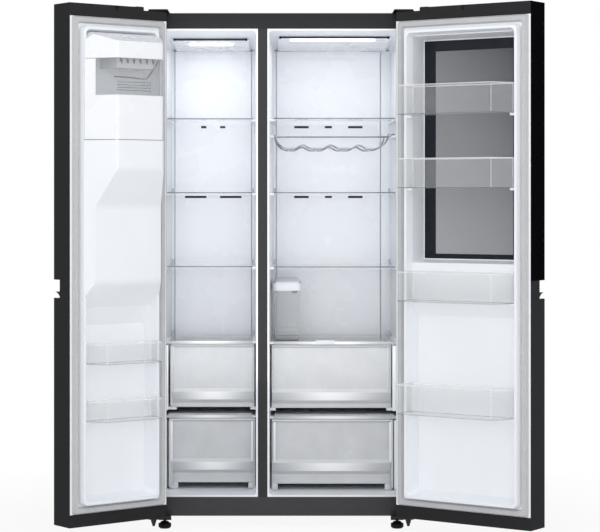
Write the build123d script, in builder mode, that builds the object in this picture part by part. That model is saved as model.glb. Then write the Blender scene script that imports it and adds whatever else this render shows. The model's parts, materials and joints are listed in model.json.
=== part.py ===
import math
import os
from types import SimpleNamespace

from build123d import *

os.makedirs("parts", exist_ok=True)

# All sizes are millimetres. X runs across the front, Y runs from the front face of the
# cabinet to its back, and Z runs up from the floor. The doors are drawn shut and then swung
# open about their hinges.

# Cabinet
cabinet_width = 913
cabinet_depth = 622
cabinet_bottom = 40
cabinet_top = 1778
case_sheet = 1
side_flange = 33
top_flange = 54
bottom_bar_height = 65.4
bar_sheet = 1.2
mullion_width = 33
mullion_channel_width = 18
mullion_channel_depth = 18

# Inner liners
liner_wall = 2.5
liner_reveal = 5.5
liner_tuck = 6
back_insulation = 56
liner_corner = 14
side_draft = 14
ceiling_drop = 32
rail_reach = 8

# Machine room at the back, under the liners
room_height = 225
room_depth = 205
room_insulation = 45
pan_sheet = 1.2
rear_bead_depth = 3
rear_bead_width = 40
rear_bead_margin = 40
rear_bead_count = 5
rear_bead_taper = 20

# Doors
freezer_door_width = 391
door_gap = 4
door_rise = 9
door_overlap = 6.4
door_thickness = 101
door_skin = 1
door_edge_radius = 6
cap_height = 43
gasket_room = 12
gasket_gap = 0.8
gasket_inset = 8
gasket_width = 24
gasket_lip = 5
hinge_inset = 20
hinge_forward = 60
hinge_pin_radius = 6
pin_clearance = 0.4
round_sides = 16
freezer_door_angle = 141.4
fridge_door_angle = 145
hinge_pocket_length = 94
hinge_pocket_depth = 11

# Door liners: a raised rim round shallow recesses
rim_hinge_inset = 46
rim_free_inset = 34
rim_bottom_inset = 70
rim_top_inset = 74
rim_height = 28
rim_width = 9
rim_draft = 4
rim_corner = 16
recess_depth = 25
recess_draft = 8
recess_slope = 60
fridge_recess_drop = 130
core_bevel = 9.6

# Pocket handle: a groove across each door with a curved grip
handle_drop = 63
handle_height = 61
handle_depth = 42
handle_sheet = 2
grip_rise = 21
grip_reach = 31
grip_root_rise = 5

# Ice and water unit on the freezer door
bulge_front = 130
bulge_mid = 62
bulge_head_height = 97
bulge_slope_height = 125
bulge_middle_height = 253
bulge_foot_height = 82
bulge_taper_free = 56
bulge_taper_hinge = 44
bulge_round = 14
bulge_bend = 40
ice_bin_height = 146
ice_window_height = 122
ice_cover_height = 87.9
ice_cover_slope = 32.9
ice_wall = 3
ice_gap = 1.5
ice_cheek = 36
ice_cover_bevel = 28
tray_drop = 32
tray_height = 44
tray_hinge_inset = 118
tray_free_inset = 119
tray_front = 104
tray_back = 24
tray_cups = 6
tray_wall = 4
tray_floor = 12
tray_rim = 6
dispenser_width = 190
dispenser_rise = 73
dispenser_recess_height = 340
control_height = 120
dispenser_depth = 112
dispenser_wall = 3
control_depth = 20
drip_height = 16
drip_slots = 7
drip_slot_width = 9
drip_slot_length = 78
drip_slot_depth = 8
nozzle_radius = 17
nozzle_tip_radius = 12
nozzle_bore = 8
nozzle_bore_depth = 27
nozzle_drop = 34
nozzle_bevel = 24
paddle_width = 70
paddle_drop = 120
paddle_height = 120
paddle_sheet = 4
paddle_setback = 26
paddle_barrel = 5
paddle_axle = 3
paddle_bevel = 9
lug_width = 6
lug_gap = 1

# Window in the upper half of the refrigerator door
window_rise = 63
window_top_inset = 33.5
window_depth = 69
window_pane = 6
window_hinge_inset = 70
window_free_inset = 56
window_margin = 10
window_corner = 3

# Shelves, drawers and fittings
freezer_front = 150
fridge_front = 115
shelf_back_gap = 15
glass = 4
trim_height = 11
trim_depth = 12
shelf_gap = 2
shelf_spacings = (263, 261, 261)
upper_cover_rise = 262
middle_cover_rise = 262.6
drawer_wall = 3
drawer_door_gap = 7
drawer_mullion_gap = 9
drawer_top_gap = 2
upper_drawer_rise = 26.5
upper_drawer_back_gap = 22
lower_drawer_rise = 22.1
lower_drawer_back_gap = 8
drawer_grip_reach = 12
drawer_grip_height = 28
upper_grip_rise = 27
lower_grip_rise = 46
runner_reach = 14
runner_height = 10
bin_wall = 2.5
bin_gap = 2
bin_ledge = 8
freezer_bin_front = 90
freezer_bin_height = 69
freezer_bin_bottoms = (398, 588)
freezer_bin_hinge = 78
freezer_bin_free = 89
fridge_bin_front = 110
fridge_bin_height = 100
fridge_bin_bottoms = (414, 792, 1172, 1418)
fridge_bin_hinge = 66
fridge_bin_free = 88
tank_width = 95
tank_depth = 260
tank_height = 188
tank_lid_height = 26
tank_wall = 2.5
slider_width = 66
slider_offset = 33
slider_gap = 0.4
slider_sheet = 3
rack_drop = 57.5
rack_rod = 5
rack_rod_sides = 6
rack_dip = 50
rack_hump = 14
rack_offset = 14
rack_pitch = 98
rack_back_gap = 85

# Air panels on the back walls and lamp panels under the ceilings
duct_depth = 46
panel_thickness = 8
panel_return = 4
panel_side_gap = 10
panel_foot_gap = 20
panel_head_gap = 2.5
outlet_height = 8
lower_outlet_drop = 16.5
upper_outlet_drop = 18.5
fridge_outlet_width = 54
fridge_outlet_spacing = 100
fridge_middle_outlet = 26
freezer_upper_outlet_width = 20
freezer_upper_outlet_spacing = 35
freezer_lower_outlet_width = 80
freezer_lower_outlet_spacing = 65
panel_recess_height = 32
panel_recess_depth = 5
freezer_panel_recess = 209
fridge_panel_recess = 249
fridge_panel_inset = 25
lamp_panel_sheet = 4
lamp_panel_gap = 3
lamp_panel_edge = 30
freezer_lamp_front = 210
fridge_lamp_front = 155
lamp_back_gap = 10

# Feet, hinges and the working parts in the machine room
foot_radius = 22
foot_height = 24
foot_inset = 55.5
foot_setback = 8
stud_radius = 5
foot_bevel = 5
arm_sheet = 4
arm_width = 28
arm_back = 90
hinge_cover_width = 70
hinge_cover_front = 79
hinge_cover_back = 96
hinge_cover_height = 12
hinge_cover_edge = 6.5
hinge_cover_slope = 26
hinge_cover_wall = 4
hinge_cover_taper = 18
bracket_sheet = 4
bracket_gap = 2
bracket_rise = 18
plate_gap = 5
plate_sheet = 6
lower_pin_height = 34
tail_radius = 10
tail_tip_radius = 4
tail_length = 24
tail_bevel = 20
roller_top_gap = 4
roller_width = 22
roller_inset = 76.5
roller_setback = 60
roller_axle = 5
strap_sheet = 3
compressor_inset = 206.5
compressor_radius = 85
compressor_height = 165
compressor_foot = 16
compressor_foot_spacing = 76
compressor_base_radius = 51
compressor_base_rise = 34
compressor_seam = 99
compressor_shoulder_radius = 72
compressor_shoulder = 140
compressor_crown_radius = 43
compressor_dome_bevel = 22
coil_tube = 5
coil_tube_sides = 6
coil_tube_reach = 10
condenser_inset = 186.5
condenser_size = (230, 120, 150)
condenser_fins = 6
condenser_rows = 3
evaporator_size = (230, 26, 300)
evaporator_rise = 140
evaporator_fins = 6
evaporator_rows = 3
fan_radius = 70
fan_depth = 24
fan_hub_radius = 17
fan_blades = 5
fan_blade_width = 35
fan_blade_sheet = 1.5
fan_blade_pitch = 20
fan_shaft = 4
fan_spacing = 200
fan_floor_gap = 5
motor_radius = 23
motor_length = 40
motor_gap = 1
motor_stand = 20
evaporator_fan_radius = 60
evaporator_fan_depth = 12
evaporator_fan_gap = 30
vent_columns = 7
vent_rows = 3
vent_width = 84
vent_height = 11

# Derived places
half_width = cabinet_width / 2
liner_depth = cabinet_depth - back_insulation
panel_face = liner_depth - duct_depth
door_bottom = cabinet_bottom + door_rise
door_top = cabinet_top + door_overlap
mullion_centre = freezer_door_width + door_gap / 2 - half_width
opening_floor = cabinet_bottom + bottom_bar_height + liner_reveal
opening_ceiling = cabinet_top - top_flange - liner_reveal
freezer_left = -half_width + side_flange + liner_reveal
freezer_right = mullion_centre - mullion_width / 2 - liner_reveal
fridge_left = mullion_centre + mullion_width / 2 + liner_reveal
fridge_right = half_width - side_flange - liner_reveal
room_top = cabinet_bottom + room_height
room_front = cabinet_depth - room_depth
step_front = room_front - room_insulation
step_top = room_top + room_insulation
rear_face = cabinet_depth - rear_bead_depth
insulation_front = case_sheet + liner_wall
hinge_x = half_width - hinge_inset
rail_height = trim_height - glass
axle_y = cabinet_depth - roller_setback
middle_cover_height = opening_floor + middle_cover_rise
upper_cover_height = middle_cover_height + upper_cover_rise
lower_shelf_height = upper_cover_height + shelf_spacings[0]
middle_shelf_height = lower_shelf_height + shelf_spacings[1]
top_shelf_height = middle_shelf_height + shelf_spacings[2]
shelf_heights = (lower_shelf_height, middle_shelf_height, top_shelf_height)
shelf_back = panel_face - shelf_back_gap
upper_drawer_top = upper_cover_height - trim_height - drawer_top_gap
upper_drawer_bottom = middle_cover_height + upper_drawer_rise
upper_drawer_back = panel_face - upper_drawer_back_gap
upper_grip_bottom = upper_drawer_bottom + upper_grip_rise
lower_drawer_top = middle_cover_height - trim_height - drawer_top_gap
lower_drawer_bottom = opening_floor + lower_drawer_rise
lower_drawer_back = step_front - lower_drawer_back_gap
lower_grip_bottom = lower_drawer_bottom + lower_grip_rise
rack_height = top_shelf_height - rack_drop
rack_back = shelf_back - rack_back_gap
rim_low = door_bottom + rim_bottom_inset
rim_high = door_top - rim_top_inset
rim_step = rim_draft + rim_width
ice_cover_top = rim_high - rim_step - recess_draft - ice_gap
ice_cover_front_top = ice_cover_top - ice_cover_slope
ice_cover_bottom = ice_cover_top - ice_cover_height
ice_window_bottom = ice_cover_bottom - ice_window_height
ice_bin_bottom = ice_window_bottom - ice_bin_height
tray_bottom = ice_cover_bottom - tray_drop
tray_top = tray_bottom + tray_height
bulge_slope_top = ice_bin_bottom - bulge_head_height
bulge_slope_bottom = bulge_slope_top - bulge_slope_height
bulge_foot_top = bulge_slope_bottom - bulge_middle_height
bulge_foot_bottom = bulge_foot_top - bulge_foot_height
dispenser_bottom = bulge_foot_top + dispenser_rise
dispenser_recess_top = dispenser_bottom + dispenser_recess_height
dispenser_top = dispenser_recess_top + control_height
paddle_top = dispenser_recess_top - paddle_drop
paddle_bottom = paddle_top - paddle_height
handle_top = dispenser_bottom - handle_drop
handle_bottom = handle_top - handle_height
grip_height = handle_bottom + grip_rise
grip_root = handle_bottom + grip_root_rise
window_bottom = handle_top + window_rise
window_top = rim_high - window_top_inset
fridge_recess_top = window_bottom - fridge_recess_drop
foot_centre = half_width - foot_inset
plate_bottom = door_bottom - plate_gap - plate_sheet
bracket_top = cabinet_bottom + bracket_rise
roller_radius = (cabinet_bottom - roller_top_gap) / 2
roller_centre = half_width - roller_inset
compressor_x = half_width - compressor_inset
condenser_x = condenser_inset - half_width
fan_x = condenser_x + fan_spacing
pan_top = cabinet_bottom + pan_sheet
room_middle = (room_front + rear_face) / 2
channel_half = mullion_channel_width / 2

freezer_door = SimpleNamespace(side=-1, width=freezer_door_width, angle=freezer_door_angle)
fridge_door = SimpleNamespace(
    side=1, width=cabinet_width - freezer_door_width - door_gap, angle=fridge_door_angle
)


def save(part, name):
    part.label = name
    export_step(part, f"parts/{name}.step")


def block(xs, ys, zs, mode=Mode.ADD):
    # A box given by its two limits on each axis
    with Locations((min(xs), min(ys), min(zs))):
        Box(
            abs(xs[1] - xs[0]),
            abs(ys[1] - ys[0]),
            abs(zs[1] - zs[0]),
            align=(Align.MIN, Align.MIN, Align.MIN),
            mode=mode,
        )


def prism(plane, points, amount, mode=Mode.ADD, rounded=(), radius=0):
    # A straight-sided outline drawn on a plane and extruded, with some corners rounded
    with BuildSketch(plane) as outline:
        with BuildLine():
            Polyline(*points, close=True)
        make_face()
        if rounded:
            places = [Vector(*points[index]) for index in rounded]
            corners = [
                corner
                for corner in outline.vertices()
                if any((Vector(corner.X, corner.Y) - place).length < radius / 100 for place in places)
            ]
            fillet(corners, radius)
    extrude(outline.sketch, amount=amount, mode=mode)


def frustum(y0, limits0, y1, limits1, corner, mode=Mode.ADD, rounded=True):
    # A block that narrows along Y between two upright rectangles with rounded or bevelled corners
    faces = []
    for y, ((x0, x1), (z0, z1)) in ((y0, limits0), (y1, limits1)):
        with BuildSketch(Plane.XZ.offset(-y)) as section:
            with Locations(((x0 + x1) / 2, (z0 + z1) / 2)):
                Rectangle(abs(x1 - x0), z1 - z0)
            if rounded:
                fillet(section.vertices(), corner)
            else:
                chamfer(section.vertices(), corner)
        faces.append(section.sketch)
    loft(faces, mode=mode)


def turned_bar(centre, axis, radius, length, mode=Mode.ADD, sides=None, flats=False):
    # A many-sided bar centred on a point, along an axis, with the radius at its corners or flats
    with BuildSketch(Plane(centre, z_dir=axis)) as section:
        RegularPolygon(radius, sides or round_sides, major_radius=not flats)
    extrude(section.sketch, amount=length / 2, both=True, mode=mode)


def turned_bore(centre, axis, radius, length):
    # A many-sided hole that clears a round bar of its radius
    turned_bar(centre, axis, radius, length, Mode.SUBTRACT, flats=True)


def bevelled_post(centre, low, high, radius, foot=None, head=None):
    # A many-sided upright bar; a bevel at its foot or head is its reach inwards and its height
    with BuildPart() as post:
        with BuildSketch(Plane.XY.offset(low)) as section:
            with Locations(centre):
                RegularPolygon(radius, round_sides)
        extrude(section.sketch, amount=high - low)
        for end, bevel in ((0, foot), (-1, head)):
            if bevel:
                face = post.faces().sort_by(Axis.Z)[end]
                chamfer(face.edges(), *bevel, reference=face)
    return post.part


def across(door, from_hinge):
    # X of a place on a shut door, measured from its hinge edge
    return door.side * (half_width - from_hinge)


def inward(protrusion):
    # Y of a place on a shut door, measured from its inner face towards the cabinet
    return protrusion - gasket_room


def swing(part, door):
    # A shut door's piece, turned to the angle at which the door stands open
    hinge = Axis((door.side * hinge_x, -hinge_forward, 0), (0, 0, 1))
    return part.rotate(hinge, door.side * door.angle)


# Cabinet shell

with BuildPart() as outer_case:
    block((-half_width, half_width), (0, cabinet_depth), (cabinet_bottom, cabinet_top))
    block(
        (case_sheet - half_width, half_width - case_sheet),
        (case_sheet, cabinet_depth),
        (cabinet_bottom, cabinet_top - case_sheet),
        Mode.SUBTRACT,
    )
    block(
        (side_flange - half_width, half_width - side_flange),
        (0, case_sheet),
        (cabinet_bottom, cabinet_top - top_flange),
        Mode.SUBTRACT,
    )
save(outer_case.part, "outer_case")

with BuildPart() as rear_panel:
    block(
        (case_sheet - half_width, half_width - case_sheet),
        (rear_face - case_sheet, rear_face),
        (room_top, cabinet_top - case_sheet),
    )
    bead_height = cabinet_top - room_top - 2 * rear_bead_margin
    bead_pitch = cabinet_width / (rear_bead_count + 1)
    with BuildSketch(Plane.XZ.offset(-rear_face)) as beads:
        with Locations((0, (cabinet_top + room_top) / 2)):
            with GridLocations(bead_pitch, 0, rear_bead_count, 1):
                Rectangle(rear_bead_width, bead_height)
    extrude(beads.sketch, amount=-rear_bead_depth, taper=rear_bead_taper)
save(rear_panel.part, "rear_panel")

with BuildPart() as base_pan:
    prism(
        Plane.YZ.offset(case_sheet - half_width),
        [
            (insulation_front, cabinet_bottom),
            (rear_face, cabinet_bottom),
            (rear_face, cabinet_bottom + pan_sheet),
            (room_front + pan_sheet, cabinet_bottom + pan_sheet),
            (room_front + pan_sheet, room_top - pan_sheet),
            (rear_face - case_sheet, room_top - pan_sheet),
            (rear_face - case_sheet, room_top),
            (room_front, room_top),
            (room_front, cabinet_bottom + pan_sheet),
            (insulation_front, cabinet_bottom + pan_sheet),
        ],
        cabinet_width - 2 * case_sheet,
    )
    for side in (-1, 1):
        for edge in (-1, 1):
            strap_x = side * roller_centre + edge * (roller_width / 2 + strap_sheet)
            block(
                (strap_x - strap_sheet / 2, strap_x + strap_sheet / 2),
                (axle_y - roller_radius, axle_y + roller_radius),
                (roller_radius - roller_axle * 2, cabinet_bottom),
            )
    axle_room = roller_axle + pin_clearance
    block(
        (-half_width, half_width),
        (axle_y - axle_room, axle_y + axle_room),
        (roller_radius - axle_room, roller_radius + axle_room),
        Mode.SUBTRACT,
    )
save(base_pan.part, "base_pan")

with BuildPart() as bottom_bar:
    block(
        (side_flange - half_width, half_width - side_flange),
        (0, case_sheet),
        (cabinet_bottom, cabinet_bottom + bottom_bar_height),
    )
save(bottom_bar.part, "bottom_bar")

with BuildPart() as mullion_bar:
    prism(
        Plane.XY.offset(cabinet_bottom + bottom_bar_height),
        [
            (mullion_centre - mullion_width / 2, 0),
            (mullion_centre + mullion_width / 2, 0),
            (mullion_centre + mullion_width / 2, case_sheet),
            (mullion_centre + channel_half, case_sheet),
            (mullion_centre + channel_half, mullion_channel_depth),
            (mullion_centre + channel_half - bar_sheet, mullion_channel_depth),
            (mullion_centre + channel_half - bar_sheet, case_sheet),
            (mullion_centre - channel_half + bar_sheet, case_sheet),
            (mullion_centre - channel_half + bar_sheet, mullion_channel_depth),
            (mullion_centre - channel_half, mullion_channel_depth),
            (mullion_centre - channel_half, case_sheet),
            (mullion_centre - mullion_width / 2, case_sheet),
        ],
        cabinet_top - top_flange - cabinet_bottom - bottom_bar_height,
    )
save(mullion_bar.part, "mullion_bar")


# Compartments


def compartment(left, right, grow):
    # The drafted space inside one liner, stepped up over the machine room
    with BuildPart() as space:
        frustum(
            case_sheet,
            ((left - grow, right + grow), (opening_floor - grow, opening_ceiling + grow)),
            liner_depth + grow,
            (
                (left + side_draft - grow, right - side_draft + grow),
                (opening_floor - grow, opening_ceiling - ceiling_drop + grow),
            ),
            liner_corner if grow == 0 else liner_wall,
            rounded=grow == 0,
        )
        block(
            (left - side_flange, right + side_flange),
            (step_front + grow, cabinet_depth),
            (0, step_top - grow),
            Mode.SUBTRACT,
        )
    return space.part


def liner_flange(left, right):
    # The flat lip round a liner's mouth, tucked behind the steel front
    reach = liner_reveal + liner_tuck
    with BuildPart() as flange:
        block(
            (left - reach, right + reach),
            (case_sheet, insulation_front),
            (opening_floor - reach, opening_ceiling + reach),
        )
    return flange.part


def hollow_with_rails(space, left, right, front):
    # The compartment less the rails and ledges that stand on its walls
    rail_back = shelf_back - runner_height
    with BuildPart() as hollow:
        add(space)
        for height in (*shelf_heights, upper_cover_height, middle_cover_height):
            for wall, sign in ((left, 1), (right, -1)):
                inner = wall + sign * (side_draft + rail_reach)
                top = height - glass
                back = rail_back if height > step_top + room_insulation else step_front
                block((wall, inner), (front + trim_depth, back), (top - rail_height, top), Mode.SUBTRACT)
        if right == fridge_right:
            ledge_top = rack_height - rack_rod / 2
            for wall, sign in ((left, 1), (right, -1)):
                block(
                    (wall, wall + sign * (side_draft + 2 * rack_rod)),
                    (front + 2 * trim_depth, rack_back - rack_rod),
                    (ledge_top - rail_height, ledge_top),
                    Mode.SUBTRACT,
                )
    return hollow.part


def drawer_limits(left, right, door):
    # Across: clear of the open door on one side and of the mullion wall on the other
    open_corner = hinge_x - (
        hinge_inset * -math.cos(math.radians(door.angle))
        + (hinge_forward - gasket_room) * math.sin(math.radians(door.angle))
    )
    if door.side < 0:
        return -open_corner + drawer_door_gap, right - drawer_mullion_gap
    return left + drawer_mullion_gap, open_corner - drawer_door_gap


freezer_drawer = drawer_limits(freezer_left, freezer_right, freezer_door)
fridge_drawer = drawer_limits(fridge_left, fridge_right, fridge_door)

compartments = (
    ("freezer", freezer_left, freezer_right, freezer_front, freezer_drawer),
    ("fridge", fridge_left, fridge_right, fridge_front, fridge_drawer),
)
liner_outsides = []
for name, left, right, front, drawer in compartments:
    outside = compartment(left, right, liner_wall)
    flange = liner_flange(left, right)
    inside = hollow_with_rails(compartment(left, right, 0), left, right, front)
    liner_outsides.append(outside)
    with BuildPart() as runners:
        for low, edge, wall in ((0, drawer[0], left), (1, drawer[1], right)):
            sign = 1 if low == 0 else -1
            block(
                (wall, edge + sign * runner_reach),
                (front + 2 * trim_depth, shelf_back - runner_height),
                (upper_drawer_bottom - runner_height, upper_drawer_bottom),
            )
            block(
                (edge + sign * drawer_wall, edge + sign * (drawer_wall + runner_reach)),
                (front + trim_depth, lower_drawer_back - drawer_wall),
                (opening_floor - liner_wall, lower_drawer_bottom),
            )
    with BuildPart() as liner:
        add(outside)
        add(flange)
        add(inside, mode=Mode.SUBTRACT)
        add(runners.part.intersect(outside))
    save(liner.part, f"{name}_liner")

with BuildPart() as cabinet_foam:
    block(
        (case_sheet - half_width, half_width - case_sheet),
        (insulation_front, rear_face - case_sheet),
        (cabinet_bottom + pan_sheet, cabinet_top - case_sheet),
    )
    block(
        (-half_width, half_width),
        (room_front, cabinet_depth),
        (cabinet_bottom, room_top),
        Mode.SUBTRACT,
    )
    for outside in liner_outsides:
        add(outside, mode=Mode.SUBTRACT)
    block(
        (mullion_centre - channel_half, mullion_centre + channel_half),
        (insulation_front, mullion_channel_depth),
        (cabinet_bottom + bottom_bar_height, cabinet_top - top_flange),
        Mode.SUBTRACT,
    )
save(cabinet_foam.part, "cabinet_foam")

# Air panels on the back walls, with returns to the liner and their outlets
def outlet_row(centre, width, spacing, height, middle):
    # Slots at one height: a pair beside the middle, and one in the middle if it has a width
    for sign in (-1, 1):
        with Locations((centre + sign * spacing, height)):
            Rectangle(width, outlet_height)
    if middle:
        with Locations((centre, height)):
            Rectangle(middle, outlet_height)


upper_outlets = top_shelf_height - upper_outlet_drop
lower_outlets = middle_shelf_height - lower_outlet_drop
outlet_rows = {
    "freezer": (
        (freezer_upper_outlet_width, freezer_upper_outlet_spacing, upper_outlets, 0),
        (freezer_lower_outlet_width, freezer_lower_outlet_spacing, lower_outlets, 0),
    ),
    "fridge": (
        (fridge_outlet_width, fridge_outlet_spacing, upper_outlets, fridge_middle_outlet),
        (fridge_outlet_width, fridge_outlet_spacing, lower_outlets, fridge_middle_outlet),
    ),
}
panel_recesses = {"freezer": freezer_panel_recess, "fridge": fridge_panel_recess}
panel_insets = {"freezer": 0, "fridge": fridge_panel_inset}
panel_edge = side_draft + panel_side_gap
panel_bottom = step_top + panel_foot_gap
panel_top = opening_ceiling - ceiling_drop - panel_head_gap
for name, left, right, front, drawer in compartments:
    panel_left = left + panel_edge
    panel_right = right - panel_edge - panel_insets[name]
    centre = (panel_left + panel_right) / 2
    with BuildPart() as duct_panel:
        block(
            (panel_left, panel_right),
            (panel_face, liner_depth),
            (panel_bottom, panel_top),
        )
        front_edges = duct_panel.faces().sort_by(Axis.Y)[0].edges()
        chamfer(front_edges, panel_thickness / 3)
        block(
            (panel_left + panel_return, panel_right - panel_return),
            (panel_face + panel_thickness, liner_depth),
            (panel_bottom + panel_return, panel_top - panel_return),
            Mode.SUBTRACT,
        )
        with BuildSketch(Plane.XZ.offset(-panel_face)) as outlets:
            for width, spacing, height, middle in outlet_rows[name]:
                outlet_row(centre, width, spacing, height, middle)
        extrude(outlets.sketch, amount=-panel_thickness, mode=Mode.SUBTRACT)
        half_recess = panel_recesses[name] / 2
        block(
            (centre - half_recess, centre + half_recess),
            (panel_face, panel_face + panel_recess_depth),
            (panel_top - panel_recess_height, panel_top),
            Mode.SUBTRACT,
        )
    save(duct_panel.part, f"{name}_duct_panel")

# Ceiling lamp panels, hung just under the sloping ceilings
lamp_fronts = {"freezer": freezer_lamp_front, "fridge": fridge_lamp_front}
lamp_back = panel_face - lamp_back_gap


def ceiling_at(y):
    return opening_ceiling - ceiling_drop * (y - case_sheet) / (liner_depth - case_sheet)


with BuildPart() as lamp_panels:
    for name, left, right, front, drawer in compartments:
        lamp_front = lamp_fronts[name]
        prism(
            Plane.YZ.offset(left + lamp_panel_edge),
            [
                (lamp_front, ceiling_at(lamp_front) - lamp_panel_gap),
                (lamp_back, ceiling_at(lamp_back)),
                (lamp_back, ceiling_at(lamp_back) - lamp_panel_sheet - lamp_panel_gap),
                (lamp_front, ceiling_at(lamp_front) - lamp_panel_gap - lamp_panel_sheet),
            ],
            right - left - 2 * lamp_panel_edge,
        )
save(lamp_panels.part, "lamp_panels")

# Glass shelves with front and back trims
trims = []
for name, left, right, front, drawer in compartments:
    shelf_left = left + side_draft + shelf_gap
    shelf_right = right - side_draft - shelf_gap
    levels = [(height, shelf_back) for height in (*shelf_heights, upper_cover_height)]
    levels.append((middle_cover_height, step_front - shelf_gap))
    with BuildPart() as shelves:
        for height, back in levels:
            block((shelf_left, shelf_right), (front + glass, back), (height - glass, height))
    save(shelves.part, f"{name}_shelves")
    with BuildPart() as shelf_trims:
        for height, back in levels:
            block(
                (shelf_left, shelf_right),
                (front, front + trim_depth),
                (height - trim_height, height),
            )
            block(
                (shelf_left, shelf_right),
                (front + glass, front + trim_depth),
                (height - glass, height),
                Mode.SUBTRACT,
            )
        chamfer(shelf_trims.edges().filter_by(Axis.X).group_by(Axis.Y)[0], glass / 2)
    trims.append(shelf_trims.part)
with BuildPart() as all_trims:
    for trim in trims:
        add(trim)
save(all_trims.part, "shelf_trims")

# Drawers


def drawer_plan(limits, door, front, back, inset):
    # Plan of a drawer: its side beside the mullion follows the draft of the wall
    taper = side_draft * (back - front) / (liner_depth - case_sheet)
    left_taper, right_taper = (0, taper) if door.side < 0 else (taper, 0)
    return [
        (limits[0] + inset, front),
        (limits[1] - inset, front),
        (limits[1] - inset - right_taper, back - inset),
        (limits[0] + inset + left_taper, back - inset),
    ]


def drawer_tub(limits, door, front, back, bottom, top, grip_bottom):
    # An open tub whose front swells into a full-width finger grip
    with BuildPart() as tub:
        prism(
            Plane.YZ.offset(limits[0]),
            [
                (front, top),
                (back, top),
                (back, bottom),
                (front + drawer_grip_reach, bottom),
                (front + drawer_grip_reach, grip_bottom - drawer_grip_reach),
                (front, grip_bottom),
                (front, grip_bottom + drawer_grip_height),
                (front + drawer_grip_reach / 2, grip_bottom + drawer_grip_height + drawer_grip_reach),
                (front + drawer_grip_reach / 2, top - drawer_grip_reach),
                (front, top - drawer_grip_reach / 2),
            ],
            limits[1] - limits[0],
        )
        prism(
            Plane.XY.offset(bottom),
            drawer_plan(limits, door, front, back, 0),
            top - bottom,
            Mode.INTERSECT,
        )
        prism(
            Plane.XY.offset(bottom + drawer_wall),
            drawer_plan(limits, door, front + drawer_grip_reach + drawer_wall, back, drawer_wall),
            top - bottom - drawer_wall,
            Mode.SUBTRACT,
        )
    return tub.part


for name, left, right, front, drawer in compartments:
    tub_front = front + trim_depth / 2
    door = freezer_door if name == "freezer" else fridge_door
    upper = drawer_tub(
        drawer,
        door,
        tub_front,
        upper_drawer_back,
        upper_drawer_bottom,
        upper_drawer_top,
        upper_grip_bottom,
    )
    save(upper, f"{name}_drawer_upper")
    lower = drawer_tub(
        drawer,
        door,
        tub_front,
        lower_drawer_back,
        lower_drawer_bottom,
        lower_drawer_top,
        lower_grip_bottom,
    )
    save(lower, f"{name}_drawer_lower")

# Water tank, its lid and the humidity slider
tank_left = fridge_left + side_draft + shelf_gap
tank_front = fridge_front + 2 * trim_depth
tank_top = upper_cover_height + tank_height
with BuildPart() as water_tank:
    prism(
        Plane.YZ.offset(tank_left),
        [
            (tank_front + tank_lid_height, upper_cover_height),
            (tank_front + tank_depth, upper_cover_height),
            (tank_front + tank_depth, tank_top),
            (tank_front, tank_top),
            (tank_front, upper_cover_height + tank_lid_height),
        ],
        tank_width,
    )
    offset(amount=-tank_wall, openings=water_tank.faces().sort_by(Axis.Z)[-1])
save(water_tank.part, "water_tank")

with BuildPart() as water_tank_lid:
    block(
        (tank_left, tank_left + tank_width),
        (tank_front, tank_front + tank_depth),
        (tank_top, tank_top + tank_lid_height),
    )
    fillet(water_tank_lid.faces().sort_by(Axis.Z)[-1].edges(), tank_lid_height / 4)
    block(
        (tank_left + 2 * tank_wall, tank_left + tank_width - 2 * tank_wall),
        (tank_front + 2 * tank_wall, tank_front + tank_depth - 2 * tank_wall),
        (tank_top, tank_top + tank_lid_height / 2),
        Mode.SUBTRACT,
    )
save(water_tank_lid.part, "water_tank_lid")

slider_centre = (fridge_left + fridge_right) / 2 - slider_offset
trim_top = upper_cover_height
trim_low = upper_cover_height - trim_height
with BuildPart() as humidity_slider:
    prism(
        Plane.YZ.offset(slider_centre - slider_width / 2),
        [
            (fridge_front - slider_gap - slider_sheet, trim_low),
            (fridge_front - slider_gap, trim_low),
            (fridge_front - slider_gap, trim_top + slider_gap),
            (fridge_front + trim_depth, trim_top + slider_gap),
            (fridge_front + trim_depth, trim_top + slider_gap + slider_sheet),
            (fridge_front - slider_gap - slider_sheet, trim_top + slider_gap + slider_sheet),
        ],
        slider_width,
        rounded=(5,),
        radius=slider_sheet / 2,
    )
save(humidity_slider.part, "humidity_slider")

# Bottle rack: two wavy rods, side rods and a straight back rail
rack_left = fridge_left + side_draft + rack_rod
rack_right = fridge_right - side_draft - rack_rod
rack_front = fridge_front + trim_depth


def rod(path_points):
    # A straight-run wire of a few flats, mitred at its bends
    with BuildLine() as path:
        Polyline(*path_points)
    line = path.line
    with BuildSketch(Plane(line @ 0, z_dir=line % 0)) as section:
        RegularPolygon(rack_rod / 2, rack_rod_sides)
    sweep(section.sketch, path=line, transition=Transition.RIGHT)


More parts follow.
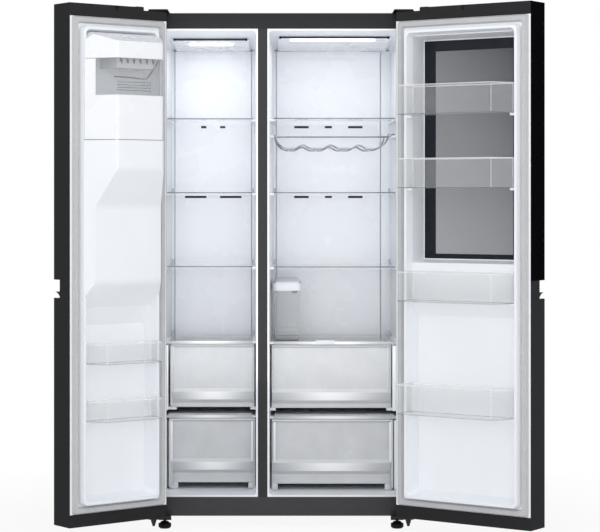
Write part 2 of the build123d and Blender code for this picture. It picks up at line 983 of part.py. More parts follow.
rack_base = rack_height - rack_dip
rack_middle = (rack_left + rack_right) / 2 - rack_offset
rack_shoulder = rack_pitch / 10
rack_hump_half = 0.3 * rack_pitch
rack_floor_half = 1.5 * rack_pitch
hump_profile = ((-1, 0), (-0.5, 0.7), (0, 1), (0.5, 0.7), (1, 0))
floor_humps = [
    (rack_middle + step * rack_pitch + along * rack_hump_half, rack_base + rise * rack_hump)
    for step in (-1, 0, 1)
    for along, rise in hump_profile
]
wave = [
    (rack_left, rack_height),
    (rack_left + rack_shoulder, rack_height),
    (rack_middle - rack_floor_half - rack_rod, rack_base + rack_rod),
    (rack_middle - rack_floor_half + rack_rod, rack_base),
    *floor_humps,
    (rack_middle + rack_floor_half - rack_rod, rack_base),
    (rack_middle + rack_floor_half + rack_rod, rack_base + rack_rod),
    (rack_right - rack_shoulder, rack_height),
    (rack_right, rack_height),
]
with BuildPart() as bottle_rack:
    for y in (rack_front, rack_back):
        rod([(x, y, z) for x, z in wave])
    for x in (rack_left, rack_right):
        rod([(x, rack_front - rack_rod / 2, rack_height), (x, rack_back + rack_rod / 2, rack_height)])
    rod([(rack_left, rack_back, rack_height), (rack_right, rack_back, rack_height)])
save(bottle_rack.part, "bottle_rack")

# Door bodies


def door_slab(door, inset, low, high):
    # A door's cross-section with rounded outer corners, between two heights
    near = across(door, inset)
    far = across(door, door.width - inset)
    outer = inward(-door_thickness + inset)
    prism(
        Plane.XY.offset(low),
        [(near, inward(0)), (far, inward(0)), (far, outer), (near, outer)],
        high - low,
        rounded=(2, 3),
        radius=door_edge_radius - inset,
    )


def groove(door, mode=Mode.SUBTRACT):
    # The finger groove across the outside of a door
    block(
        (across(door, 0), across(door, door.width)),
        (inward(-door_thickness), inward(-door_thickness + handle_depth)),
        (handle_bottom, handle_top),
        mode,
    )


def door_skin_part(door, low, high):
    with BuildPart() as inside:
        door_slab(door, door_skin, low, high)
    with BuildPart() as skin:
        door_slab(door, 0, low, high)
        add(inside.part, mode=Mode.SUBTRACT)
        groove(door)
        block(
            (across(door, 0), across(door, hinge_pocket_length)),
            (inward(-door_thickness), inward(0)),
            (door_top - hinge_pocket_depth, door_top),
            Mode.SUBTRACT,
        )
    return skin.part


def door_caps(door):
    # Moulded end caps with the hinge pin holes, the upper one lowered under the hinge arm
    with BuildPart() as caps:
        door_slab(door, door_skin, door_bottom, door_bottom + cap_height)
        door_slab(door, door_skin, door_top - cap_height, door_top)
        block(
            (across(door, 0), across(door, hinge_pocket_length)),
            (inward(-door_thickness), inward(0)),
            (door_top - hinge_pocket_depth, door_top),
            Mode.SUBTRACT,
        )
        for low, high in (
            (door_bottom, door_bottom + cap_height),
            (door_top - cap_height, door_top),
        ):
            pin_place = (door.side * hinge_x, -hinge_forward, (low + high) / 2)
            turned_bore(pin_place, (0, 0, 1), hinge_pin_radius + pin_clearance, high - low)
    return caps.part


def handle_part(door):
    # Back plate of the groove with a grip that curves up and out from its foot
    back = inward(-door_thickness + handle_depth)
    face = back - handle_sheet
    with BuildPart() as handle:
        with BuildSketch(Plane.YZ.offset(min(across(door, 0), across(door, door.width)))) as profile:
            with BuildLine():
                Polyline(
                    (face, grip_root),
                    (face, handle_bottom),
                    (back, handle_bottom),
                    (back, handle_top),
                    (face, handle_top),
                    (face, grip_height),
                    (face - grip_reach, grip_height),
                )
                grip_tip = (face - grip_reach, grip_height)
                SagittaArc(grip_tip, (face, grip_root), (grip_height - grip_root) / 4)
            make_face()
        extrude(profile.sketch, amount=door.width)
    return handle.part


def gasket_part(door):
    # Magnetic seal: a hollow rectangle that narrows towards the cabinet
    low = door_bottom + cap_height
    high = door_top - cap_height
    tip = gasket_room - gasket_gap

    def limits(inset):
        return (
            (across(door, gasket_inset + inset), across(door, door.width - gasket_inset - inset)),
            (low + inset, high - inset),
        )

    with BuildPart() as gasket:
        frustum(inward(0), limits(0), inward(tip), limits(gasket_lip), gasket_lip, rounded=False)
        frustum(
            inward(0),
            limits(gasket_width),
            inward(tip),
            limits(gasket_width - gasket_lip),
            gasket_lip,
            Mode.SUBTRACT,
            rounded=False,
        )
    return gasket.part


def rim_limits(door, inset):
    return (
        (across(door, rim_hinge_inset + inset), across(door, door.width - rim_free_inset - inset)),
        (rim_low + inset, rim_high - inset),
    )


def door_limits(door, insets, heights):
    return ((across(door, insets[0]), across(door, door.width - insets[1])), heights)


def inner_form(door, shell, recesses):
    # The insulated body of a door with its raised rim and recesses, its inner side set back
    # by the thickness of the liner that covers it
    with BuildPart() as form:
        low = door_bottom + cap_height
        high = door_top - cap_height
        door_slab(door, door_skin, low, high)
        if shell:
            block(
                (across(door, 0), across(door, door.width)),
                (inward(-shell), inward(0)),
                (low, high),
                Mode.SUBTRACT,
            )
        frustum(
            inward(-shell),
            rim_limits(door, shell),
            inward(rim_height - shell),
            rim_limits(door, shell + rim_draft),
            core_bevel if shell else rim_corner,
            rounded=shell == 0,
        )
        frustum(
            inward(rim_height),
            rim_limits(door, rim_step - shell),
            inward(-shell),
            rim_limits(door, rim_step + recess_draft - shell),
            shell or rim_corner,
            Mode.SUBTRACT,
            rounded=shell == 0,
        )
        for recess in recesses:
            mouth_insets = [inset - shell for inset in recess.mouth_insets]
            floor_insets = [inset - shell for inset in recess.floor_insets]
            mouth_heights = (recess.mouth_heights[0] - shell, recess.mouth_heights[1] + shell)
            floor_heights = (recess.floor_heights[0] - shell, recess.floor_heights[1] + shell)
            frustum(
                inward(-shell),
                door_limits(door, mouth_insets, mouth_heights),
                inward(-recess.depth - shell),
                door_limits(door, floor_insets, floor_heights),
                shell or recess.corner,
                Mode.SUBTRACT,
                rounded=shell == 0,
            )
    return form.part


def unit_plan(door, inset, base):
    # Plan of the ice and water unit: it laps over the rim and narrows to its front
    near = rim_hinge_inset + rim_step + inset
    far = door.width - rim_free_inset - rim_step - inset
    shoulder = inward(rim_height + inset)
    front = inward(bulge_front - inset)
    return [
        (across(door, near + recess_draft), inward(base)),
        (across(door, near), shoulder),
        (across(door, near - rim_width), shoulder),
        (across(door, near + bulge_taper_hinge), front),
        (across(door, far - bulge_taper_free), front),
        (across(door, far + rim_width), shoulder),
        (across(door, far), shoulder),
        (across(door, far - recess_draft), inward(base)),
    ]


def unit_block(door, inset, base, low, high, mode=Mode.ADD):
    prism(
        Plane.XY.offset(low),
        unit_plan(door, inset, base),
        high - low,
        mode,
        rounded=(3, 4),
        radius=bulge_round,
    )


def bulge_part(door, inset):
    # The swelling behind the dispenser: full depth at the ice chute, then stepped back
    floor = inward(-inset)
    middle = inward(bulge_mid - inset)
    front = inward(bulge_front - inset)
    top = ice_bin_bottom - inset
    with BuildPart() as swell:
        unit_block(door, inset, -inset, bulge_foot_bottom, top)
        prism(
            Plane.YZ.offset(-half_width),
            [
                (floor, bulge_foot_bottom),
                (middle, bulge_foot_top),
                (middle, bulge_slope_bottom),
                (front, bulge_slope_top),
                (front, top),
                (floor, top),
            ],
            freezer_door_width,
            Mode.INTERSECT,
            rounded=(1, 2, 3),
            radius=bulge_bend,
        )
    return swell.part


# Recesses in the door liners, each with the limits of its mouth and of its floor
recess_low = rim_low + rim_step + recess_draft
mouth_insets = (rim_hinge_inset + rim_step + recess_draft, rim_free_inset + rim_step + recess_draft)
floor_insets = (mouth_insets[0] + recess_draft, mouth_insets[1] + recess_draft)


def shallow_recess(top):
    return SimpleNamespace(
        depth=recess_depth,
        mouth_insets=mouth_insets,
        floor_insets=floor_insets,
        mouth_heights=(recess_low, top),
        floor_heights=(recess_low + recess_draft, top - recess_slope),
        corner=rim_corner,
    )


freezer_recesses = [shallow_recess(bulge_foot_bottom)]
fridge_recesses = [
    shallow_recess(fridge_recess_top),
    SimpleNamespace(
        depth=window_depth,
        mouth_insets=mouth_insets,
        floor_insets=(window_hinge_inset, window_free_inset),
        mouth_heights=(window_bottom - window_margin, window_top + window_margin),
        floor_heights=(window_bottom, window_top),
        corner=window_corner,
    ),
]


def ledges(door, bottoms):
    # Small ledges on the rim's inner walls that carry the bins
    near = rim_hinge_inset + rim_step
    far = door.width - rim_free_inset - rim_step
    reach = recess_draft + bin_gap + bin_ledge
    for bottom in bottoms:
        for edge, sign in ((near, 1), (far, -1)):
            block(
                (across(door, edge - sign * liner_wall), across(door, edge + sign * reach)),
                (inward(bin_ledge / 2), inward(rim_height - bin_ledge / 2)),
                (bottom - bin_ledge, bottom),
            )


def bin_part(door, front, hinge_inset, free_inset, bottom, height):
    # A clear bin: it fills the rim and narrows to its front
    near = rim_hinge_inset + rim_step + bin_gap
    far = door.width - rim_free_inset - rim_step - bin_gap
    with BuildPart() as tub:
        prism(
            Plane.XY.offset(bottom),
            [
                (across(door, near + recess_draft), inward(bin_gap)),
                (across(door, near), inward(rim_height)),
                (across(door, hinge_inset), inward(front)),
                (across(door, door.width - free_inset), inward(front)),
                (across(door, far), inward(rim_height)),
                (across(door, far - recess_draft), inward(bin_gap)),
            ],
            height,
            rounded=(2, 3),
            radius=bulge_round,
        )
        offset(amount=-bin_wall, openings=tub.faces().sort_by(Axis.Z)[-1])
    return tub.part


# Freezer door

dispenser_near = freezer_door_width / 2 - dispenser_width / 2
dispenser_far = freezer_door_width / 2 + dispenser_width / 2
dispenser_front = inward(-door_thickness)
dispenser_back = dispenser_front + dispenser_depth
dispenser_x = (across(freezer_door, dispenser_near), across(freezer_door, dispenser_far))
dispenser_middle = across(freezer_door, freezer_door_width / 2)


def dispenser_space(mode):
    block(
        dispenser_x,
        (dispenser_front, dispenser_back),
        (dispenser_bottom, dispenser_recess_top),
        mode,
    )
    block(
        dispenser_x,
        (dispenser_front, dispenser_front + control_depth),
        (dispenser_recess_top, dispenser_top),
        mode,
    )


freezer_skin = door_skin_part(freezer_door, door_bottom, door_top)
with BuildPart() as freezer_door_skin:
    add(freezer_skin)
    dispenser_space(Mode.SUBTRACT)
save(swing(freezer_door_skin.part, freezer_door), "freezer_door_skin")
save(swing(door_caps(freezer_door), freezer_door), "freezer_door_caps")
save(swing(gasket_part(freezer_door), freezer_door), "freezer_door_gasket")
save(swing(handle_part(freezer_door), freezer_door), "freezer_door_handle")

freezer_surface = inner_form(freezer_door, 0, freezer_recesses)
freezer_core = inner_form(freezer_door, liner_wall, freezer_recesses)
bulge_surface = bulge_part(freezer_door, 0)
bulge_core = bulge_part(freezer_door, liner_wall)
with BuildPart() as freezer_door_foam:
    add(freezer_core)
    add(bulge_core)
    groove(freezer_door)
    dispenser_space(Mode.SUBTRACT)
save(swing(freezer_door_foam.part, freezer_door), "freezer_door_foam")
with BuildPart() as freezer_door_liner:
    add(freezer_surface)
    add(bulge_surface)
    ledges(freezer_door, freezer_bin_bottoms)
    add(freezer_core, mode=Mode.SUBTRACT)
    add(bulge_core, mode=Mode.SUBTRACT)
save(swing(freezer_door_liner.part, freezer_door), "freezer_door_liner")

for bottom, name in zip(freezer_bin_bottoms, ("lower", "upper")):
    tub = bin_part(
        freezer_door, freezer_bin_front, freezer_bin_hinge, freezer_bin_free, bottom, freezer_bin_height
    )
    save(swing(tub, freezer_door), f"freezer_door_bin_{name}")

# Ice unit: a bin with a clear bucket front under a moulded cover
cheek_front = bulge_mid
bin_top = ice_cover_bottom - ice_gap
with BuildPart() as ice_bin:
    unit_block(freezer_door, ice_gap, ice_gap, ice_bin_bottom, bin_top)
    unit_block(
        freezer_door,
        ice_gap + ice_wall,
        ice_gap + ice_wall,
        ice_bin_bottom + ice_wall,
        bin_top,
        Mode.SUBTRACT,
    )
    block(
        (-half_width, 0),
        (inward(cheek_front), inward(2 * bulge_front)),
        (ice_window_bottom, bin_top),
        Mode.SUBTRACT,
    )
    block(
        (
            across(freezer_door, rim_hinge_inset + rim_step + ice_cheek),
            across(freezer_door, freezer_door_width - rim_free_inset - rim_step - ice_cheek),
        ),
        (inward(0), inward(cheek_front)),
        (ice_window_bottom, bin_top),
        Mode.SUBTRACT,
    )
save(swing(ice_bin.part, freezer_door), "ice_bin")
with BuildPart() as ice_bin_window:
    unit_block(freezer_door, ice_gap, ice_gap, ice_window_bottom, bin_top)
    unit_block(
        freezer_door, ice_gap + ice_wall, ice_gap, ice_window_bottom, bin_top, Mode.SUBTRACT
    )
    block(
        (-half_width, 0),
        (inward(-bulge_front), inward(cheek_front)),
        (ice_window_bottom, bin_top),
        Mode.SUBTRACT,
    )
save(swing(ice_bin_window.part, freezer_door), "ice_bin_window")



def cover_block(inset, base, top, front_top):
    # The cover's solid shape: its top slopes down to the front, its upper corners are bevelled
    near = rim_hinge_inset + rim_draft + inset
    far = freezer_door_width - rim_free_inset - rim_draft - inset
    with BuildPart() as solid:
        unit_block(freezer_door, inset, base, ice_cover_bottom, top)
        prism(
            Plane.YZ.offset(-half_width),
            [
                (inward(base), ice_cover_bottom),
                (inward(bulge_front), ice_cover_bottom),
                (inward(bulge_front), front_top),
                (inward(rim_height), top),
                (inward(base), top),
            ],
            freezer_door_width,
            Mode.INTERSECT,
        )
        prism(
            Plane.XZ.offset(-inward(bulge_front)),
            [
                (across(freezer_door, near), ice_cover_bottom),
                (across(freezer_door, near), top - ice_cover_bevel),
                (across(freezer_door, near + ice_cover_bevel), top),
                (across(freezer_door, far - ice_cover_bevel), top),
                (across(freezer_door, far), top - ice_cover_bevel),
                (across(freezer_door, far), ice_cover_bottom),
            ],
            bulge_front,
            Mode.INTERSECT,
        )
    return solid.part


cover_outside = cover_block(ice_gap, ice_gap, ice_cover_top, ice_cover_front_top)
cover_hollow = cover_block(
    ice_gap + ice_wall, ice_gap, ice_cover_top - ice_wall, ice_cover_front_top - ice_wall
)
with BuildPart() as ice_maker_cover:
    add(cover_outside)
    add(cover_hollow, mode=Mode.SUBTRACT)
save(swing(ice_maker_cover.part, freezer_door), "ice_maker_cover")

tray_width = freezer_door_width - tray_hinge_inset - tray_free_inset
cup_pitch = tray_width / tray_cups
with BuildPart() as ice_tray:
    tray_near = across(freezer_door, tray_hinge_inset)
    tray_far = across(freezer_door, freezer_door_width - tray_free_inset)
    block((tray_near, tray_far), (inward(tray_back), inward(tray_front)), (tray_bottom, tray_top))
    for cup in range(tray_cups):
        cup_near = tray_near + cup * cup_pitch
        block(
            (cup_near + tray_wall / 2, cup_near + cup_pitch - tray_wall / 2),
            (inward(tray_back + tray_rim), inward(tray_front - tray_rim)),
            (tray_bottom + tray_floor, tray_top),
            Mode.SUBTRACT,
        )
    for arm in (tray_near, tray_far - cup_pitch):
        block((arm, arm + cup_pitch), (inward(0), inward(tray_back)), (tray_bottom, tray_top))
save(swing(ice_tray.part, freezer_door), "ice_tray")

# Dispenser on the outside of the freezer door
nozzle_y = (dispenser_front + dispenser_back) / 2
paddle_axis_y = dispenser_back - paddle_setback
paddle_pivot = (dispenser_middle, paddle_axis_y, paddle_top)
paddle_axle_length = paddle_width + 2 * (lug_gap + lug_width)
nozzle = bevelled_post(
    (dispenser_middle, nozzle_y),
    dispenser_recess_top - nozzle_drop,
    dispenser_recess_top,
    nozzle_radius,
    foot=(nozzle_radius - nozzle_tip_radius, nozzle_bevel),
)
with BuildPart() as dispenser_housing:
    dispenser_space(Mode.ADD)
    block(
        (dispenser_x[0] + dispenser_wall, dispenser_x[1] - dispenser_wall),
        (dispenser_front, dispenser_back - dispenser_wall),
        (dispenser_bottom + drip_height, dispenser_recess_top - dispenser_wall),
        Mode.SUBTRACT,
    )
    with BuildSketch(Plane.XY.offset(dispenser_bottom + drip_height)) as drip:
        with Locations((dispenser_middle, nozzle_y)):
            with GridLocations(dispenser_width / (drip_slots + 1), 0, drip_slots, 1):
                Rectangle(drip_slot_width, drip_slot_length)
    extrude(drip.sketch, amount=-drip_slot_depth, mode=Mode.SUBTRACT)
    add(nozzle)
    bore_middle = dispenser_recess_top - nozzle_drop + nozzle_bore_depth / 2
    turned_bore((dispenser_middle, nozzle_y, bore_middle), (0, 0, 1), nozzle_bore, nozzle_bore_depth)
    for sign in (-1, 1):
        lug_near = dispenser_middle + sign * (paddle_width / 2 + lug_gap)
        lug_x = (lug_near, lug_near + sign * lug_width)
        block(
            lug_x,
            (paddle_axis_y - 2 * paddle_axle, dispenser_back - dispenser_wall),
            (paddle_top - 2 * paddle_axle, paddle_top + 2 * paddle_axle),
        )
    turned_bore(paddle_pivot, (1, 0, 0), paddle_axle + pin_clearance, paddle_axle_length)
save(swing(dispenser_housing.part, freezer_door), "dispenser_housing")

with BuildPart() as dispenser_paddle:
    turned_bar(paddle_pivot, (1, 0, 0), paddle_barrel, paddle_width)
    turned_bar(paddle_pivot, (1, 0, 0), paddle_axle, paddle_axle_length)
    with BuildSketch(Plane.XZ.offset(-paddle_axis_y)) as blade:
        with Locations((dispenser_middle, (paddle_top + paddle_bottom) / 2)):
            Rectangle(paddle_width, paddle_top - paddle_bottom)
        chamfer(blade.vertices(), paddle_bevel)
    extrude(blade.sketch, amount=paddle_sheet / 2, both=True)
save(swing(dispenser_paddle.part, freezer_door), "dispenser_paddle")

# Refrigerator door

save(
    swing(door_skin_part(fridge_door, door_bottom, handle_top), fridge_door),
    "fridge_door_lower_skin",
)
save(
    swing(door_skin_part(fridge_door, handle_top, door_top), fridge_door),
    "fridge_door_upper_skin",
)
save(swing(door_caps(fridge_door), fridge_door), "fridge_door_caps")
save(swing(gasket_part(fridge_door), fridge_door), "fridge_door_gasket")
save(swing(handle_part(fridge_door), fridge_door), "fridge_door_handle")

fridge_surface = inner_form(fridge_door, 0, fridge_recesses)
fridge_core = inner_form(fridge_door, liner_wall, fridge_recesses)
with BuildPart() as window_pane_part:
    block(
        (
            across(fridge_door, window_hinge_inset + window_corner),
            across(fridge_door, fridge_door.width - window_free_inset - window_corner),
        ),
        (inward(-window_depth - window_pane), inward(-window_depth)),
        (window_bottom + window_corner, window_top - window_corner),
    )
save(swing(window_pane_part.part, fridge_door), "window_pane")
with BuildPart() as fridge_door_foam:
    add(fridge_core)
    groove(fridge_door)
    add(window_pane_part.part, mode=Mode.SUBTRACT)
save(swing(fridge_door_foam.part, fridge_door), "fridge_door_foam")
with BuildPart() as fridge_door_liner:
    add(fridge_surface)
    ledges(fridge_door, fridge_bin_bottoms)
    add(fridge_core, mode=Mode.SUBTRACT)
    add(window_pane_part.part, mode=Mode.SUBTRACT)
save(swing(fridge_door_liner.part, fridge_door), "fridge_door_liner")

bin_names = ("bottom", "lower", "upper", "top")
for bottom, name in zip(fridge_bin_bottoms, bin_names):
    tub = bin_part(
        fridge_door, fridge_bin_front, fridge_bin_hinge, fridge_bin_free, bottom, fridge_bin_height
    )
    save(swing(tub, fridge_door), f"fridge_door_bin_{name}")

# Hinges, hinge covers and feet

with BuildPart() as upper_hinges:
    for side in (-1, 1):
        pin_x = side * hinge_x
        block(
            (pin_x - arm_width / 2, pin_x + arm_width / 2),
            (-hinge_forward, arm_back),
            (cabinet_top, cabinet_top + arm_sheet),
        )
        block(
            (pin_x, pin_x - side * (arm_width + arm_sheet)),
            (arm_sheet, arm_back),
            (cabinet_top, cabinet_top + arm_sheet),
        )
        arm_middle = cabinet_top + arm_sheet / 2
        turned_bar((pin_x, -hinge_forward, arm_middle), (0, 0, 1), arm_width / 2, arm_sheet)
        pin_length = cabinet_top + cap_height - door_top
        pin_middle = cabinet_top + arm_sheet - pin_length / 2
        turned_bar((pin_x, -hinge_forward, pin_middle), (0, 0, 1), hinge_pin_radius, pin_length)
save(upper_hinges.part, "upper_hinges")

with BuildPart() as hinge_covers:
    for side in (-1, 1):
        cover_x = side * (half_width - case_sheet - hinge_cover_width / 2)
        cover_y = (hinge_cover_back - hinge_cover_front) / 2
        cover_inside = hinge_cover_width - 2 * hinge_cover_wall
        with BuildSketch(Plane.XY.offset(cabinet_top)) as outline:
            with Locations((cover_x, cover_y)):
                Rectangle(hinge_cover_width, hinge_cover_back + hinge_cover_front)
            chamfer(outline.vertices(), hinge_cover_height)
        extrude(outline.sketch, amount=hinge_cover_height, taper=hinge_cover_taper)
        edge = cabinet_top + hinge_cover_edge
        peak = cabinet_top + hinge_cover_height
        inner_x = cover_x - side * hinge_cover_width / 2
        prism(
            Plane.YZ.offset(cover_x - hinge_cover_width / 2),
            [(-hinge_cover_front, edge), (-hinge_cover_front, peak), (0, peak)],
            hinge_cover_width,
            Mode.SUBTRACT,
        )
        prism(
            Plane.XZ.offset(-hinge_cover_back),
            [(inner_x, edge), (inner_x, peak), (inner_x + side * hinge_cover_slope, peak)],
            hinge_cover_back + hinge_cover_front,
            Mode.SUBTRACT,
        )
        block(
            (cover_x - cover_inside / 2, cover_x + cover_inside / 2),
            (hinge_cover_wall - hinge_cover_front, hinge_cover_back - hinge_cover_wall),
            (cabinet_top, cabinet_top + arm_sheet),
            Mode.SUBTRACT,
        )
save(hinge_covers.part, "hinge_covers")

bracket_bottom = foot_height + bracket_gap
hinge_tails = {
    side: bevelled_post(
        (side * hinge_x, -hinge_forward),
        plate_bottom - tail_length,
        plate_bottom,
        tail_radius,
        foot=(tail_radius - tail_tip_radius, tail_bevel),
    )
    for side in (-1, 1)
}
with BuildPart() as lower_hinges:
    for side in (-1, 1):
        pin_x = side * hinge_x
        inner = side * (foot_centre - foot_radius)
        outer = side * (half_width - 2 * case_sheet)
        prism(
            Plane.XY.offset(plate_bottom),
            [
                (outer, 0),
                (inner, 0),
                (inner, -foot_setback - foot_radius),
                (pin_x - side * arm_width / 2, -hinge_forward - arm_width / 2),
                (outer, -hinge_forward - arm_width / 2),
            ],
            plate_sheet,
        )
        block(
            (inner, side * (foot_centre + foot_radius)),
            (-bracket_sheet, 0),
            (bracket_bottom, bracket_top),
        )
        stud_place = (side * foot_centre, -foot_setback - bracket_sheet, plate_bottom + plate_sheet / 2)
        turned_bore(stud_place, (0, 0, 1), stud_radius + pin_clearance, plate_sheet)
        pin_top = door_bottom + lower_pin_height
        pin_place = (pin_x, -hinge_forward, (plate_bottom + pin_top) / 2)
        turned_bar(pin_place, (0, 0, 1), hinge_pin_radius, pin_top - plate_bottom)
        add(hinge_tails[side])
save(lower_hinges.part, "lower_hinges")

for side, name in ((-1, "left"), (1, "right")):
    foot_place = (side * foot_centre, -foot_setback - bracket_sheet)
    with BuildPart() as foot:
        with BuildSketch() as knob:
            with Locations(foot_place):
                RegularPolygon(foot_radius, round_sides)
        extrude(knob.sketch, amount=foot_height)
        chamfer(foot.faces().sort_by(Axis.Z)[0].edges(), foot_bevel)
        chamfer(foot.faces().sort_by(Axis.Z)[-1].edges(), 2 * foot_bevel)
        stud_length = plate_bottom + plate_sheet - foot_height
        stud_middle = (*foot_place, foot_height + stud_length / 2)
        turned_bar(stud_middle, (0, 0, 1), stud_radius, stud_length)
    save(foot.part, f"{name}_foot")

# Machine room


with BuildPart() as rear_rollers:
    turned_bar(
        (0, axle_y, roller_radius),
        (1, 0, 0),
        roller_axle,
        2 * roller_centre + 2 * roller_width,
    )
    for side in (-1, 1):
        turned_bar(
            (side * roller_centre, axle_y, roller_radius),
            (1, 0, 0),
            roller_radius,
            roller_width,
        )
save(rear_rollers.part, "rear_rollers")

compressor_base = pan_top + compressor_foot
compressor_place = (compressor_x, room_middle)
shoulder_height = compressor_base + compressor_shoulder
compressor_pot = bevelled_post(
    compressor_place,
    compressor_base,
    shoulder_height,
    compressor_radius,
    foot=(compressor_radius - compressor_base_radius, compressor_base_rise),
    head=(compressor_radius - compressor_shoulder_radius, compressor_shoulder - compressor_seam),
)
compressor_dome = bevelled_post(
    compressor_place,
    shoulder_height,
    compressor_base + compressor_height,
    compressor_shoulder_radius,
    head=(compressor_shoulder_radius - compressor_crown_radius, compressor_dome_bevel),
)
with BuildPart() as compressor:
    add(compressor_pot)
    add(compressor_dome)
    with Locations((compressor_x, room_middle, pan_top)):
        with GridLocations(compressor_foot_spacing, compressor_foot_spacing, 2, 2):
            Box(
                compressor_foot,
                compressor_foot,
                2 * compressor_foot,
                align=(Align.CENTER, Align.CENTER, Align.MIN),
            )
save(compressor.part, "compressor")


def finned_coil(centre, size, fins, rows):
    # Thin upright fins along X, threaded by straight tubes
    pitch = size[0] / (fins - 1)
    row_pitch = size[2] / rows
    length = size[0] + 2 * coil_tube_reach
    with BuildPart() as coil:
        with Locations(centre):
            with GridLocations(pitch, 0, fins, 1):
                Box(case_sheet, size[1], size[2])
        for row in range(rows):
            height = centre[2] + (row - (rows - 1) / 2) * row_pitch
            turned_bar((centre[0], centre[1], height), (1, 0, 0), coil_tube, length, sides=coil_tube_sides)
    return coil.part


def fan_part(centre, axis, radius, depth):
    # A hub bored for its motor shaft, with pitched blades
    with BuildPart() as fan:
        turned_bar(centre, axis, fan_hub_radius, depth)
        blade_length = radius - fan_hub_radius
        with Locations(Plane(centre, x_dir=(0, 0, 1), z_dir=axis)):
            with PolarLocations((radius + fan_hub_radius) / 2 - fan_blade_sheet, fan_blades):
                Box(blade_length, fan_blade_width, fan_blade_sheet, rotation=(fan_blade_pitch, 0, 0))
        turned_bore(centre, axis, fan_shaft + pin_clearance, depth)
    return fan.part


fan_height = pan_top + fan_radius + fan_floor_gap
condenser_height = pan_top + condenser_size[2] / 2
fan_centre = (fan_x, room_middle, fan_height)
save(fan_part(fan_centre, (1, 0, 0), fan_radius, fan_depth), "condenser_fan")
motor_x = fan_x + (fan_depth + motor_length) / 2 + motor_gap
shaft_length = fan_depth + motor_length
with BuildPart() as condenser:
    add(
        finned_coil(
            (condenser_x, room_middle, condenser_height), condenser_size, condenser_fins, condenser_rows
        )
    )
    turned_bar((motor_x, room_middle, fan_height), (1, 0, 0), motor_radius, motor_length)
    shaft_x = fan_x + (motor_length + motor_gap) / 2
    turned_bar((shaft_x, room_middle, fan_height), (1, 0, 0), fan_shaft, shaft_length)
    block(
        (motor_x - motor_stand / 2, motor_x + motor_stand / 2),
        (room_middle - motor_stand, room_middle + motor_stand),
        (pan_top, fan_height - motor_radius / 2),
    )
save(condenser.part, "condenser")

evaporator_x = (freezer_left + freezer_right) / 2
evaporator_y = liner_depth - evaporator_size[1] / 2
evaporator_height = panel_bottom + evaporator_rise + evaporator_size[2] / 2
evaporator_head = evaporator_height + evaporator_size[2] / 2
evaporator_fan_height = evaporator_head + evaporator_fan_gap + evaporator_fan_radius
evaporator_fan_y = (panel_face + panel_thickness + liner_depth) / 2
save(
    fan_part(
        (evaporator_x, evaporator_fan_y, evaporator_fan_height),
        (0, 1, 0),
        evaporator_fan_radius,
        evaporator_fan_depth,
    ),
    "evaporator_fan",
)
motor_front = evaporator_fan_y + evaporator_fan_depth / 2 + motor_gap
shaft_front = evaporator_fan_y - evaporator_fan_depth / 2
with BuildPart() as evaporator:
    add(
        finned_coil(
            (evaporator_x, evaporator_y, evaporator_height),
            evaporator_size,
            evaporator_fins,
            evaporator_rows,
        )
    )
    for front, radius in ((motor_front, motor_radius), (shaft_front, fan_shaft)):
        turned_bar(
            (evaporator_x, (front + liner_depth) / 2, evaporator_fan_height),
            (0, 1, 0),
            radius,
            liner_depth - front,
        )
save(evaporator.part, "evaporator")

column_pitch = cabinet_width / (vent_columns + 1)
row_pitch = room_height / (vent_rows + 1)
with BuildPart() as machine_cover:
    block(
        (case_sheet - half_width, half_width - case_sheet),
        (rear_face, rear_face + case_sheet),
        (cabinet_bottom, room_top),
    )
    with BuildSketch(Plane.XZ.offset(-rear_face)) as vents:
        with Locations((0, (cabinet_bottom + room_top) / 2)):
            with GridLocations(column_pitch, row_pitch, vent_columns, vent_rows):
                Rectangle(vent_width, vent_height)
    extrude(vents.sketch, amount=-case_sheet, mode=Mode.SUBTRACT)
save(machine_cover.part, "machine_cover")
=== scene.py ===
import json
import math

import bmesh
import bpy
from mathutils import Matrix, Vector, geometry

